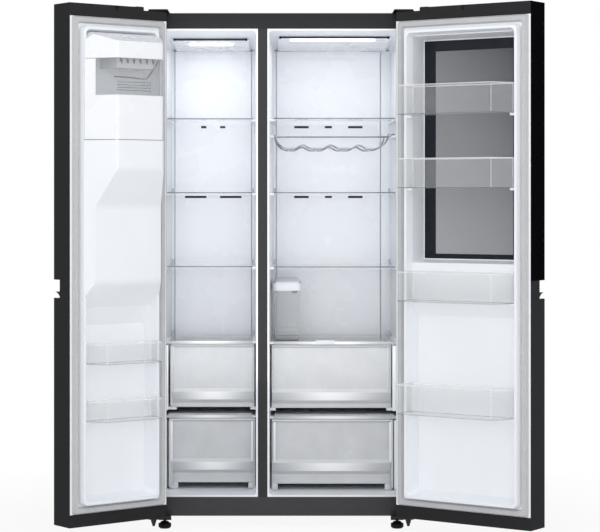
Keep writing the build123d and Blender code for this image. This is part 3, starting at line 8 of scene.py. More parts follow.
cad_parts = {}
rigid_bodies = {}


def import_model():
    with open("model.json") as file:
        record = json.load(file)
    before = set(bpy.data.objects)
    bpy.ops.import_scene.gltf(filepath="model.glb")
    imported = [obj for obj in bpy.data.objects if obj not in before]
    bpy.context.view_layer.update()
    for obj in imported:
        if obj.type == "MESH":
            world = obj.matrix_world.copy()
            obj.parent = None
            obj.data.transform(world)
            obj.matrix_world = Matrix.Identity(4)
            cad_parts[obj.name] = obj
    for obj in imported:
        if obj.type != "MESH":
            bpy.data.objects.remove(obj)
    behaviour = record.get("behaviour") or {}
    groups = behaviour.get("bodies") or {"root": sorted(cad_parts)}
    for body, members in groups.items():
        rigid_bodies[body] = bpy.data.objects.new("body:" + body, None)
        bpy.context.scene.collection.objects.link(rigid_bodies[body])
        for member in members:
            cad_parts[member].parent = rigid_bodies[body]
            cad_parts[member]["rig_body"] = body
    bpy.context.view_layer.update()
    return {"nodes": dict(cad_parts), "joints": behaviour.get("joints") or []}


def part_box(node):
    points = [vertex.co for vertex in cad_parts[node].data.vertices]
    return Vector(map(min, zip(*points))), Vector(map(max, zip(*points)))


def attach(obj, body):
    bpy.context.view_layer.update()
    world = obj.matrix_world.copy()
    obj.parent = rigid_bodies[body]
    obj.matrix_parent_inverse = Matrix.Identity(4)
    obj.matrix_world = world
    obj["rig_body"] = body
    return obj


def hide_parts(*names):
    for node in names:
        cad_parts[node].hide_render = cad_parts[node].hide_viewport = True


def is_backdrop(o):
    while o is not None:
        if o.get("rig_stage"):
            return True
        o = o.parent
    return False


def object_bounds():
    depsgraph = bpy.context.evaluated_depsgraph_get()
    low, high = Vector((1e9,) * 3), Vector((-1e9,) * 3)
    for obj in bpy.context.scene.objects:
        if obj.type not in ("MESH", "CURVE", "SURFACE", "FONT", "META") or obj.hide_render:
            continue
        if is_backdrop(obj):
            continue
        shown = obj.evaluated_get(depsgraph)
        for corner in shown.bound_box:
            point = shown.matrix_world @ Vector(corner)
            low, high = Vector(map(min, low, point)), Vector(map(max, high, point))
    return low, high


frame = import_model()
nodes = frame["nodes"]
joints = {joint["name"]: joint for joint in frame["joints"]}
print("frame loaded:", len(nodes), "solids")

for leftover in list(bpy.context.scene.objects):
    if "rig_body" not in leftover and not leftover.name.startswith("body:"):
        bpy.data.objects.remove(leftover)

scene = bpy.context.scene
scene.view_settings.view_transform = "Standard"
mm = 0.001


# colours are written as they look on screen and turned to linear light here
def colour(hexValue, alpha=1.0):
    channels = []
    for shift in (16, 8, 0):
        value = (hexValue >> shift & 255) / 255
        channels.append(value / 12.92 if value <= 0.04045 else ((value + 0.055) / 1.055) ** 2.4)
    return (*channels, alpha)


# one node, its settings and what feeds it
def addNode(tree, kind, settings=None, feeds=None):
    node = tree.nodes.new(kind)
    for key, value in (settings or {}).items():
        if isinstance(key, int) or key in node.inputs:
            node.inputs[key].default_value = value
        else:
            setattr(node, key, value)
    for socket, source in (feeds or {}).items():
        tree.links.new(source, node.inputs[socket])
    return node


# an empty material, its tree and the place on the object
def newMaterial(name):
    material = bpy.data.materials.new(name)
    material.use_nodes = True
    tree = material.node_tree
    tree.nodes.clear()
    place = addNode(tree, "ShaderNodeTexCoord")
    return material, tree, place.outputs["Object"]


# a moulded, painted or rolled surface: fine cloudiness in colour and gloss, and a fine texture
def finish(name, look):
    material, tree, place = newMaterial(name)
    cloud = addNode(
        tree, "ShaderNodeTexNoise",
        {"Scale": 1 / (look["cloudSize"] * mm), "Detail": 3.0, "Roughness": 0.55}, {"Vector": place})
    tint = addNode(tree, "ShaderNodeValToRGB", feeds={"Fac": cloud.outputs["Fac"]})
    for element, position, tone in zip(tint.color_ramp.elements, (0.3, 0.7), ("shade", "tone")):
        element.position = position
        element.color = colour(look[tone])
    gloss = addNode(
        tree, "ShaderNodeMapRange",
        {"From Min": 0.25, "From Max": 0.75, "To Min": look["rough"][0], "To Max": look["rough"][1]},
        {"Value": cloud.outputs["Fac"]})
    grain = addNode(
        tree, "ShaderNodeTexNoise", {"Scale": 1 / (look["grainSize"] * mm), "Detail": 2.0},
        {"Vector": place})
    bump = addNode(
        tree, "ShaderNodeBump", {"Strength": look["grainDepth"], "Distance": 0.2 * mm},
        {"Height": grain.outputs["Fac"]})
    shader = addNode(
        tree, "ShaderNodeBsdfPrincipled",
        {"Metallic": look.get("metallic", 0.0), "IOR": 1.5,
         "Specular IOR Level": look.get("specular", 0.5)},
        {"Base Color": tint.outputs["Color"], "Roughness": gloss.outputs["Result"],
         "Normal": bump.outputs["Normal"]})
    if "clear" in look:  # see-through face on, denser where the wall is seen along its length
        facing = addNode(tree, "ShaderNodeLayerWeight", {"Blend": 0.35})
        density = addNode(
            tree, "ShaderNodeMapRange",
            {"From Min": 0.0, "From Max": 1.0, "To Min": look["clear"][0], "To Max": look["clear"][1]},
            {"Value": facing.outputs["Facing"]})
        tree.links.new(density.outputs["Result"], shader.inputs["Alpha"])
    addNode(tree, "ShaderNodeOutputMaterial", feeds={"Surface": shader.outputs["BSDF"]})
    return material


# tones as seen on screen, sizes in mm, and at the end of a row what else the finish has
lookKeys = ("tone", "shade", "cloudSize", "rough", "grainSize", "grainDepth")
finishLooks = {
    # pre-coated steel sheet, rolled on: an even dark grey, nearly matt
    "preCoatedSteelGrey": (0x303133, 0x2E2F31, 60, (0.42, 0.5), 0.8, 0.12, {"specular": 0.06}),
    # the same sheet on the doors' outsides, a little darker: painted shade on their sides
    "preCoatedSteelDoorPaintedShade": (0x2A2B2D, 0x28292B, 70, (0.38, 0.46), 0.8, 0.12, {"specular": 0.02}),
    # tinted glass front, edge to edge: near black, with its reflections kept down
    "tintedGlassBlack": (0x0D0C0F, 0x0B0A0D, 120, (0.08, 0.12), 4, 0.01, {"specular": 0.0}),
    # painted front frame of the cabinet: mid dark grey, satin
    "paintedSteelFrame": (0x373739, 0x353537, 50, (0.42, 0.5), 0.8, 0.12, {"specular": 0.1}),
    # the same paint with painted light: a little lighter on the bottom bar, low down where less light
    # falls, and in the air outlets
    "paintedSteelBar": (0x424244, 0x404042, 50, (0.42, 0.5), 0.8, 0.12, {"specular": 0.1}),
    # hot-dip galvanised sheet: pale grey with a faint spangle
    "galvanisedSheet": (0xB9BCBF, 0x9FA3A6, 9, (0.35, 0.5), 1.5, 0.08, {"metallic": 0.9}),
    # vacuum-formed polystyrene liner: cool white with a low even gloss
    "formedPolystyrene": (0xEEF1F5, 0xECEFF4, 160, (0.3, 0.36), 1.2, 0.05, {"specular": 0.4}),
    # moulded ABS panels: the same white, a little glossier
    "mouldedAbsWhite": (0xEFF1F5, 0xEDEFF4, 160, (0.24, 0.3), 1.0, 0.04, {"specular": 0.4}),
    # float glass: thin, faintly blue, mirror smooth
    "floatGlass": (0xE4ECF0, 0xE0E9EE, 200, (0.02, 0.04), 30, 0.005, {"clear": (0.02, 0.4)}),
    # the ground edge of that glass: blue grey
    "floatGlassEdge": (0x767C83, 0x6E747B, 40, (0.2, 0.3), 2, 0.05, {}),
    # the tank's latch: moulded ABS in the same grey
    "mouldedAbsGrey": (0x767C83, 0x6E747B, 40, (0.2, 0.3), 2, 0.05, {}),
    # clear PVC edging that holds the glass
    "clearPvcEdging": (0xE8ECEF, 0xE2E7EA, 60, (0.3, 0.36), 8, 0.01,
        {"specular": 0.2, "clear": (0.12, 0.25)}),
    # silver-painted ABS of the shelf supports: satin
    "silverPaintedAbs": (0xC9CDD3, 0xBBC0C6, 40, (0.25, 0.35), 0.6, 0.06, {"metallic": 0.35}),
    # clear moulded polystyrene: water clear, bright where light catches it
    "clearPolystyrene": (0xF2F4F6, 0xEEF1F3, 60, (0.04, 0.08), 8, 0.02, {"clear": (0.03, 0.24)}),
    # rims and corners of the clear mouldings: a painted highlight where the light gathers
    "clearPolystyreneRim": (0xF4F6F7, 0xEEF1F3, 30, (0.06, 0.12), 8, 0.02, {"clear": (0.5, 0.75)}),
    # feet of the clear mouldings: painted shade where the wall is seen edge on
    "clearPolystyreneFoot": (0x7E848A, 0x747A80, 30, (0.08, 0.14), 8, 0.02, {"clear": (0.5, 0.7)}),
    # the ice bucket's window: faintly smoky
    "smokedPolystyrene": (0xE6E9EC, 0xE0E3E7, 60, (0.1, 0.16), 8, 0.02,
        {"specular": 0.3, "clear": (0.14, 0.3)}),
    # the water tank's walls: milky clear
    "milkyPolystyrene": (0xEDF0F3, 0xE8EBEE, 60, (0.1, 0.16), 8, 0.02,
        {"specular": 0.3, "clear": (0.2, 0.46)}),
    # the tank's lid: moulded polypropylene, a duller white
    "mouldedPolypropylene": (0xD6D9DD, 0xD1D4D8, 60, (0.34, 0.42), 1.0, 0.05, {"specular": 0.3}),
    # soft PVC joint under the ice bucket, in shade
    "jointPvc": (0x7C7E82, 0x76787C, 30, (0.5, 0.6), 1.0, 0.05, {"specular": 0.2}),
    # drawers: grey polystyrene, frosted on its inner face
    "frostedPolystyrene": (0xCBCDD0, 0xC3C5C8, 70, (0.2, 0.28), 3, 0.03, {"specular": 0.4}),
    # chromed steel wire
    "chromedWire": (0x8E9093, 0x7F8184, 20, (0.12, 0.2), 2, 0.02, {"metallic": 1.0}),
    # dark ABS mouldings: end caps and handles
    "mouldedAbsDark": (0x2A2A2C, 0x272729, 40, (0.46, 0.55), 0.7, 0.2, {"specular": 0.08}),
    # black ABS mouldings: covers, feet and fans
    "mouldedAbsBlack": (0x0E0E0F, 0x0B0B0C, 30, (0.4, 0.52), 0.7, 0.2, {"specular": 0.12}),
    # black stove-enamelled steel
    "enamelledSteelBlack": (0x121212, 0x0D0D0D, 30, (0.3, 0.42), 1.0, 0.15, {"specular": 0.35}),
    # bare aluminium fins and tube
    "bareAluminium": (0xC4C7CA, 0xB2B5B8, 25, (0.3, 0.42), 1.0, 0.1, {"metallic": 1.0}),
    # zinc-plated screws
    "zincPlatedSteel": (0xA6A8AA, 0x8F9193, 6, (0.28, 0.4), 0.5, 0.1, {"metallic": 1.0}),
    # extruded soft PVC of the door seals: warm pale grey, matt
    "sealPvc": (0xC0C1C3, 0xBABBBD, 30, (0.5, 0.6), 1.0, 0.1, {"specular": 0.25}),
    # ceramic ink baked on the glass: blue black
    "ceramicInk": (0x282A31, 0x25272E, 40, (0.14, 0.2), 1.0, 0.02, {"specular": 0.04}),
    # rigid polyurethane foam, hidden between skin and liner
    "polyurethaneFoam": (0xE2D6AE, 0xD6C99E, 12, (0.85, 0.95), 1.5, 0.6, {}),
}
finishes = {
    name: finish(name, {**dict(zip(lookKeys, row)), **row[-1]}) for name, row in finishLooks.items()}

# opal polycarbonate over the lamps: it glows evenly
lampGlow = {"tone": 0xFFFFFF, "strength": 1.15, "ripple": 6}
opal, opalTree, opalPlace = newMaterial("opalPolycarbonate")
opalRipple = addNode(
    opalTree, "ShaderNodeTexWave", {"Scale": 1 / (lampGlow["ripple"] * mm * math.pi), "Distortion": 0.0},
    {"Vector": opalPlace})
opalBump = addNode(
    opalTree, "ShaderNodeBump", {"Strength": 0.1, "Distance": 0.3 * mm},
    {"Height": opalRipple.outputs["Fac"]})
opalShader = addNode(
    opalTree, "ShaderNodeBsdfPrincipled",
    {"Base Color": colour(lampGlow["tone"]), "Roughness": 0.35, "Emission Color": colour(lampGlow["tone"]),
     "Emission Strength": lampGlow["strength"]},
    {"Normal": opalBump.outputs["Normal"]})
addNode(opalTree, "ShaderNodeOutputMaterial", feeds={"Surface": opalShader.outputs["BSDF"]})
finishes["opalPolycarbonate"] = opal

# hot-stamped metal foil on the drawer grips: brushed along its length, with a painted highlight brightest
# in the middle
foilHighlightLook = {"ends": 0xB4B6B9, "middle": 0xEEEFF1, "along": 4.0, "streak": 0.35}
foil, foilTree, foilPlace = newMaterial("hotStampedFoil")
foilAlong = addNode(foilTree, "ShaderNodeAttribute", {"attribute_name": "alongStrip"})
foilPaintedHighlight = addNode(foilTree, "ShaderNodeValToRGB", feeds={"Fac": foilAlong.outputs["Fac"]})
foilPaintedHighlight.color_ramp.interpolation = "EASE"
foilPaintedHighlight.color_ramp.elements[0].color = colour(foilHighlightLook["ends"])
foilPaintedHighlight.color_ramp.elements[1].position = 0.5
foilPaintedHighlight.color_ramp.elements[1].color = colour(foilHighlightLook["middle"])
foilEnd = foilPaintedHighlight.color_ramp.elements.new(1.0)
foilEnd.color = colour(foilHighlightLook["ends"])
foilFine = 1 / (foilHighlightLook["streak"] * mm)
foilStretch = addNode(
    foilTree, "ShaderNodeMapping", {"Scale": (foilHighlightLook["along"], foilFine, foilFine)},
    {"Vector": foilPlace})
foilBrush = addNode(foilTree, "ShaderNodeTexNoise", {"Scale": 1.0, "Detail": 2.0},
                    {"Vector": foilStretch.outputs["Vector"]})
foilBump = addNode(foilTree, "ShaderNodeBump", {"Strength": 0.12, "Distance": 0.1 * mm},
                   {"Height": foilBrush.outputs["Fac"]})
foilShader = addNode(
    foilTree, "ShaderNodeBsdfPrincipled", {"Roughness": 0.42, "Specular IOR Level": 0.25},
    {"Base Color": foilPaintedHighlight.outputs["Color"], "Normal": foilBump.outputs["Normal"]})
addNode(foilTree, "ShaderNodeOutputMaterial", feeds={"Surface": foilShader.outputs["BSDF"]})
finishes["hotStampedFoil"] = foil

# half-silvered window glass: mid grey, with a painted reflection that leaves it palest at its hinge side
# and foot
glassReflectionLook = {"pale": 0xA4A5A9, "middle": 0x88898D, "dark": 0x46474C, "acrossShare": 0.4, "upShare": 0.6}
glassLow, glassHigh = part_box("window_pane")
glass, glassTree, glassPlace = newMaterial("silveredGlassPaintedReflection")
glassAxes = addNode(glassTree, "ShaderNodeSeparateXYZ", feeds={"Vector": glassPlace})
glassAcross = addNode(
    glassTree, "ShaderNodeMapRange",
    {"From Min": glassLow.x, "From Max": glassHigh.x, "To Min": 0.0,
     "To Max": glassReflectionLook["acrossShare"]},
    {"Value": glassAxes.outputs["X"]})
glassUp = addNode(
    glassTree, "ShaderNodeMapRange",
    {"From Min": glassLow.z, "From Max": glassHigh.z, "To Min": 0.0,
     "To Max": glassReflectionLook["upShare"]},
    {"Value": glassAxes.outputs["Z"]})
glassReflectionShare = addNode(
    glassTree, "ShaderNodeMath", {"operation": "ADD"},
    {0: glassAcross.outputs["Result"], 1: glassUp.outputs["Result"]})
glassPaintedReflection = addNode(glassTree, "ShaderNodeValToRGB", feeds={"Fac": glassReflectionShare.outputs[0]})
glassPaintedReflection.color_ramp.elements[0].color = colour(glassReflectionLook["pale"])
glassPaintedReflection.color_ramp.elements[1].color = colour(glassReflectionLook["dark"])
glassPaintedReflection.color_ramp.elements.new(0.5).color = colour(glassReflectionLook["middle"])
glassShader = addNode(
    glassTree, "ShaderNodeBsdfPrincipled", {"Roughness": 0.1, "Specular IOR Level": 0.1},
    {"Base Color": glassPaintedReflection.outputs["Color"]})
addNode(glassTree, "ShaderNodeOutputMaterial", feeds={"Surface": glassShader.outputs["BSDF"]})
finishes["silveredGlassPaintedReflection"] = glass

# the finish of each solid
nodeFinishes = {
    "preCoatedSteelGrey": ["outer_case"],
    "preCoatedSteelDoorPaintedShade": ["freezer_door_skin", "fridge_door_lower_skin"],
    "tintedGlassBlack": ["fridge_door_upper_skin"],
    "paintedSteelFrame": ["mullion_bar"],
    "paintedSteelBar": ["bottom_bar"],
    "galvanisedSheet": ["rear_panel", "base_pan", "machine_cover"],
    "formedPolystyrene": ["freezer_liner", "fridge_liner", "freezer_door_liner", "fridge_door_liner"],
    "mouldedAbsWhite": [
        "freezer_duct_panel", "fridge_duct_panel", "lamp_panels", "ice_maker_cover", "ice_bin"],
    "mouldedPolypropylene": ["water_tank_lid", "humidity_slider"],
    "floatGlass": ["freezer_shelves", "fridge_shelves"],
    "clearPvcEdging": ["shelf_trims"],
    "clearPolystyrene": [
        "water_tank", "freezer_door_bin_lower", "freezer_door_bin_upper", "fridge_door_bin_bottom",
        "fridge_door_bin_lower", "fridge_door_bin_upper", "fridge_door_bin_top"],
    "smokedPolystyrene": ["ice_bin_window"],
    "frostedPolystyrene": [
        "freezer_drawer_upper", "freezer_drawer_lower", "fridge_drawer_upper", "fridge_drawer_lower",
        "ice_tray"],
    "chromedWire": ["bottle_rack"],
    "mouldedAbsDark": [
        "freezer_door_caps", "fridge_door_caps", "freezer_door_handle", "fridge_door_handle"],
    "mouldedAbsBlack": [
        "hinge_covers", "condenser_fan", "evaporator_fan", "left_foot", "right_foot", "rear_rollers",
        "dispenser_housing", "dispenser_paddle"],
    "enamelledSteelBlack": ["upper_hinges", "lower_hinges", "compressor"],
    "bareAluminium": ["condenser", "evaporator"],
    "sealPvc": ["freezer_door_gasket", "fridge_door_gasket"],
    "silveredGlassPaintedReflection": ["window_pane"],
    "polyurethaneFoam": ["cabinet_foam", "freezer_door_foam", "fridge_door_foam"],
}
for finishName, nodeNames in nodeFinishes.items():
    for nodeName in nodeNames:
        nodes[nodeName].data.materials.clear()
        nodes[nodeName].data.materials.append(finishes[finishName])
print("finishes given to every solid")


# the doors stand open: their pieces are drawn with the door shut and swung out about its hinge
def doorSwing(jointName):
    joint = joints[jointName]
    pivot = Matrix.Translation(Vector(joint["pos_m"]))
    opening = math.radians(-joint["range_deg"][0])
    return pivot @ Matrix.Rotation(opening, 4, Vector(joint["axis"])) @ pivot.inverted()


# what counts as one point, and the angles that decide what is nipped, rounded and shaded smooth
meshRules = {
    "weld": 1e-6, "sharpCorner": math.radians(155), "sharpEdge": math.radians(30),
    "smooth": math.radians(35)}
swings = {"freezer": doorSwing("freezer_door_swing"), "fridge": doorSwing("fridge_door_swing")}
inPlace = Matrix()


# the points of a solid on a door, with that door shut
def shutPoints(nodeName, door):
    back = swings[door].inverted()
    return [back @ vertex.co for vertex in nodes[nodeName].data.vertices]


# low and high corners round some points
def cornersOf(points):
    return (
        Vector([min(point[axis] for point in points) for axis in range(3)]),
        Vector([max(point[axis] for point in points) for axis in range(3)]),
    )


# low and high corners of each separate solid of a node
def solidBoxes(nodeName):
    shape = bmesh.new()
    shape.from_mesh(nodes[nodeName].data)
    bmesh.ops.remove_doubles(shape, verts=shape.verts, dist=meshRules["weld"])
    waiting = set(shape.verts)
    boxes = []
    while waiting:
        group = [waiting.pop()]
        for vertex in group:
            for edge in vertex.link_edges:
                other = edge.other_vert(vertex)
                if other in waiting:
                    waiting.remove(other)
                    group.append(other)
        boxes.append(cornersOf([vertex.co for vertex in group]))
    shape.free()
    return boxes


# outline of a convex foot seen from above, anticlockwise
def footOutline(points, tolerance=0.1 * mm):
    low = min(point.z for point in points)
    places = {(round(point.x, 5), round(point.y, 5)) for point in points if point.z < low + tolerance}
    foot = [Vector(place) for place in sorted(places)]
    return [foot[index] for index in geometry.convex_hull_2d(foot)]


# moves a convex outline inwards, with mitred corners
def insetOutline(outline, distance):
    moved = []
    for index, point in enumerate(outline):
        before = (point - outline[index - 1]).normalized()
        after = (outline[(index + 1) % len(outline)] - point).normalized()
        sides = Vector((-before.y, before.x)), Vector((-after.y, after.x))
        mitre = (sides[0] + sides[1]) / (1 + sides[0].dot(sides[1]))
        moved.append(point + mitre * distance)
    return moved


# cuts a small flat across every sharp corner of an outline
def nipCorners(outline, width):
    nipped = []
    for index, point in enumerate(outline):
        before = (outline[index - 1] - point).normalized()
        after = (outline[(index + 1) % len(outline)] - point).normalized()
        if before.angle(after) < meshRules["sharpCorner"]:
            nipped.extend((point + before * width, point + after * width))
        else:
            nipped.append(point)
    return nipped


# a rectangle with round corners, anticlockwise
def roundedRectangle(low, high, radius, steps=4):
    middles = (
        (high[0] - radius, high[1] - radius, 0),
        (low[0] + radius, high[1] - radius, 90),
        (low[0] + radius, low[1] + radius, 180),
        (high[0] - radius, low[1] + radius, 270),
    )
    outline = []
    for across, up, start in middles:
        for step in range(steps + 1):
            angle = math.radians(start + 90 * step / steps)
            outline.append(Vector((across + radius * math.cos(angle), up + radius * math.sin(angle))))
    return outline


# skins a run of equal loops with quads; the ends are closed, or the run is joined to itself
def skinLoops(loops, joined=False):
    count = len(loops[0])
    rows = len(loops)
    vertices = [point for loop in loops for point in loop]
    faces = []
    for row in range(rows if joined else rows - 1):
        above = (row + 1) % rows
        for index in range(count):
            beside = (index + 1) % count
            faces.append(
                (row * count + index, row * count + beside, above * count + beside, above * count + index))
    if not joined:
        faces.append(tuple(reversed(range(count))))
        faces.append(tuple(range((rows - 1) * count, rows * count)))
    return vertices, faces


# a mesh in its place, with faces outwards, edges rounded and a finish for each face
def buildMesh(name, vertices, faces, finishNames, place=inPlace, rounding=0.0, finishOf=None):
    shape = bmesh.new()
    made = [shape.verts.new(vertex) for vertex in vertices]
    for index, face in enumerate(faces):
        built = shape.faces.new([made[corner] for corner in face])
        built.material_index = finishOf[index] if finishOf else 0
    bmesh.ops.remove_doubles(shape, verts=shape.verts, dist=meshRules["weld"])
    bmesh.ops.recalc_face_normals(shape, faces=shape.faces)
    if rounding:
        sharp = [
            edge for edge in shape.edges
            if edge.is_manifold and edge.calc_face_angle() > meshRules["sharpEdge"]]
        bmesh.ops.bevel(
            shape, geom=sharp, offset=rounding, segments=2, profile=0.5, affect="EDGES", clamp_overlap=True)
    shape.transform(place)
    mesh = bpy.data.meshes.new(name)
    shape.to_mesh(mesh)
    shape.free()
    for polygon in mesh.polygons:
        polygon.use_smooth = True
    mesh.set_sharp_from_angle(angle=meshRules["smooth"])
    for finishName in finishNames:
        mesh.materials.append(finishes[finishName])
    return mesh


# a mesh as a piece on the body it rides on, hiding the solids it stands for; its slot is not used
def addPiece(name, mesh, body, slot, *replaced):
    piece = bpy.data.objects.new(name, mesh)
    scene.collection.objects.link(piece)
    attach(piece, body)
    if replaced:
        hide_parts(*replaced)


# a piece of one finish
def makePiece(name, shape, finishName, body, slot, place=inPlace, rounding=0.0, replaced=()):
    addPiece(name, buildMesh(name, *shape, [finishName], place, rounding), body, slot, *replaced)


# several separate shapes in one mesh
def joinShapes(shapes):
    vertices = []
    faces = []
    for shapeVertices, shapeFaces in shapes:
        start = len(vertices)
        vertices.extend(shapeVertices)
        faces.extend(tuple(corner + start for corner in face) for face in shapeFaces)
    return vertices, faces


# a box between two corners, as vertices and faces
def boxShape(low, high):
    bottom = [(low[0], low[1]), (high[0], low[1]), (high[0], high[1]), (low[0], high[1])]
    return skinLoops([[Vector((x, y, z)) for x, y in bottom] for z in (low[2], high[2])])


# an outline in X and Z, given its depth along Y
def plateShape(outline, front, back):
    return skinLoops([[Vector((across, depth, up)) for across, up in outline] for depth in (front, back)])


# a round wire along a run of points
def wireShape(points, radius, sides=10):
    loops = []
    for index, point in enumerate(points):
        ahead = points[min(index + 1, len(points) - 1)] - points[max(index - 1, 0)]
        turn = ahead.to_track_quat("Z", "Y")
        loops.append([
            point + turn @ Vector((
                radius * math.cos(math.tau * side / sides), radius * math.sin(math.tau * side / sides), 0))
            for side in range(sides)])
    return skinLoops(loops)


# a node tree that repeats a shape, with named inputs
def startTree(name, inputs):
    tree = bpy.data.node_groups.new(name, "GeometryNodeTree")
    for socketName, kind in {**inputs, "Shape": "Object", "Finish": "Material"}.items():
        tree.interface.new_socket(socketName, in_out="INPUT", socket_type="NodeSocket" + kind)
    tree.interface.new_socket("Geometry", in_out="OUTPUT", socket_type="NodeSocketGeometry")
    return tree, addNode(tree, "NodeGroupInput").outputs


# puts the shape at each point and gives the copies their finish
def endTree(tree, given, places):
    shape = addNode(tree, "GeometryNodeObjectInfo", feeds={"Object": given["Shape"]})
    copies = addNode(
        tree, "GeometryNodeInstanceOnPoints", feeds={**places, "Instance": shape.outputs["Geometry"]})
    whole = addNode(tree, "GeometryNodeRealizeInstances", feeds={"Geometry": copies.outputs["Instances"]})
    dressed = addNode(
        tree, "GeometryNodeSetMaterial",
        feeds={"Geometry": whole.outputs["Geometry"], "Material": given["Finish"]})
    addNode(tree, "NodeGroupOutput", feeds={"Geometry": dressed.outputs["Geometry"]})


# a straight row of one shape
rowTree, given = startTree("rowOfShapes", {"Count": "Int", "Start": "Vector", "Step": "Vector"})
rowLine = addNode(
    rowTree, "GeometryNodeMeshLine", {"mode": "OFFSET"},
    {"Count": given["Count"], "Start Location": given["Start"], "Offset": given["Step"]})
endTree(rowTree, given, {"Points": rowLine.outputs["Mesh"]})

# a ring of one shape about an upright axis, each turned to face outwards
ringTree, given = startTree("ringOfShapes", {"Count": "Int", "Radius": "Float", "Middle": "Vector"})
ringCircle = addNode(
    ringTree, "GeometryNodeMeshCircle", feeds={"Vertices": given["Count"], "Radius": given["Radius"]})
ringMoved = addNode(
    ringTree, "GeometryNodeTransform",
    feeds={"Geometry": ringCircle.outputs["Mesh"], "Translation": given["Middle"]})
ringIndex = addNode(ringTree, "GeometryNodeInputIndex")
ringShare = addNode(
    ringTree, "ShaderNodeMath", {"operation": "DIVIDE"},
    {0: ringIndex.outputs["Index"], 1: given["Count"]})
ringAngle = addNode(
    ringTree, "ShaderNodeMath", {"operation": "MULTIPLY", 1: math.tau}, {0: ringShare.outputs[0]})
ringTurn = addNode(ringTree, "ShaderNodeCombineXYZ", feeds={"Z": ringAngle.outputs[0]})
endTree(
    ringTree, given, {"Points": ringMoved.outputs["Geometry"], "Rotation": ringTurn.outputs["Vector"]})

# one shape at each point of a mesh
scatterTree, given = startTree("shapeAtPoints", {"Points": "Geometry"})
endTree(scatterTree, given, {"Points": given["Points"]})


# runs a tree once and keeps its result as a plain mesh
def growMesh(name, tree, shapeMesh, finishName, values, points=()):
    shape = bpy.data.objects.new(name + "Shape", shapeMesh)
    scene.collection.objects.link(shape)
    base = bpy.data.meshes.new(name + "Points")
    base.from_pydata([tuple(point) for point in points], [], [])
    holder = bpy.data.objects.new(name + "Holder", base)
    scene.collection.objects.link(holder)
    grower = holder.modifiers.new(name, "NODES")
    grower.node_group = tree
    settings = {**values, "Shape": shape, "Finish": finishes[finishName]}
    for socket in tree.interface.items_tree:
        if socket.name in settings:
            grower[socket.identifier] = settings[socket.name]
    view = bpy.context.evaluated_depsgraph_get()
    mesh = bpy.data.meshes.new_from_object(holder.evaluated_get(view))
    holder.modifiers.remove(grower)
    bpy.data.objects.remove(holder)
    bpy.data.objects.remove(shape)
    mesh.name = name
    return mesh


print("tools ready")

# lamps under the ceilings: an opal lens behind a dark slot with a screw at each end
lampSizes = {
    "sheet": 4 * mm, "lensRise": 5 * mm, "lensCorner": 12 * mm,
    # each loop of the lens: its inset as a share of the corner, its drop as a share of the rise
    "lensLoops": ((0, 0), (0, 0.6), (0.25, 1), (0.6, 1.15)),
    "slotDepth": 3 * mm, "slotInset": 9 * mm, "slotRound": 0.9,
    "screwRadius": 4.2 * mm, "screwRound": 0.98, "screwProud": 1.5 * mm, "edge": 0.5 * mm,
    "freezer": {
        "lens": ((-332 * mm, 290 * mm), (-171 * mm, 322 * mm)), "front": 210 * mm, "slotHeight": 5 * mm},
    "fridge": {
        "lens": ((30 * mm, 170 * mm), (334 * mm, 206 * mm)), "front": 155 * mm, "slotHeight": 3.6 * mm},
}
lampLow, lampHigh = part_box("lamp_panels")
lampSlope = (lampHigh.z - lampSizes["sheet"] - lampLow.z) / (lampHigh.y - lampLow.y)
lampPoints = [vertex.co for vertex in nodes["lamp_panels"].data.vertices]


# height of the sloping lamp panels' underside
def lampUnderside(depth):
    return lampLow.z + lampSlope * (lampHigh.y - depth)


for compartment, inner in (("freezer", "freezer_liner"), ("fridge", "fridge_liner")):
    sizes = lampSizes[compartment]
    lensOutline = roundedRectangle(*sizes["lens"], lampSizes["lensCorner"])
    lensLoops = []
    for inset, drop in lampSizes["lensLoops"]:
        lensLoops.append([
            Vector((point.x, point.y, lampUnderside(point.y) - drop * lampSizes["lensRise"]))
            for point in insetOutline(lensOutline, inset * lampSizes["lensCorner"])])
    makePiece(
        compartment + "LampLens", skinLoops(lensLoops), "opalPolycarbonate", "cabinet", "lamp_diffuser")

    innerLow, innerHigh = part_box(inner)
    across = [point.x for point in lampPoints if innerLow.x < point.x < innerHigh.x]
    slotLeft = min(across) + lampSizes["slotInset"]
    slotRight = max(across) - lampSizes["slotInset"]
    slotMiddle = lampUnderside(sizes["front"]) + lampSizes["sheet"] / 2
    slotFront = sizes["front"] - lampSizes["slotDepth"]
    slotHalf = sizes["slotHeight"] / 2
    slotOutline = roundedRectangle(
        (slotLeft, slotMiddle - slotHalf), (slotRight, slotMiddle + slotHalf),
        slotHalf * lampSizes["slotRound"])
    makePiece(
        compartment + "LampSlot", plateShape(slotOutline, slotFront, sizes["front"]), "paintedSteelFrame",
        "cabinet", "black_plastic", rounding=lampSizes["edge"])
    radius = lampSizes["screwRadius"]
    screwShapes = []
    for end in (slotLeft, slotRight):
        headOutline = roundedRectangle(
            (end - radius, slotMiddle - radius), (end + radius, slotMiddle + radius),
            radius * lampSizes["screwRound"])
        screwShapes.append(plateShape(headOutline, slotFront - lampSizes["screwProud"], sizes["front"]))
    makePiece(
        compartment + "LampScrews", joinShapes(screwShapes), "mouldedAbsBlack", "cabinet", "black_plastic",
        rounding=lampSizes["edge"])
print("lamps made")

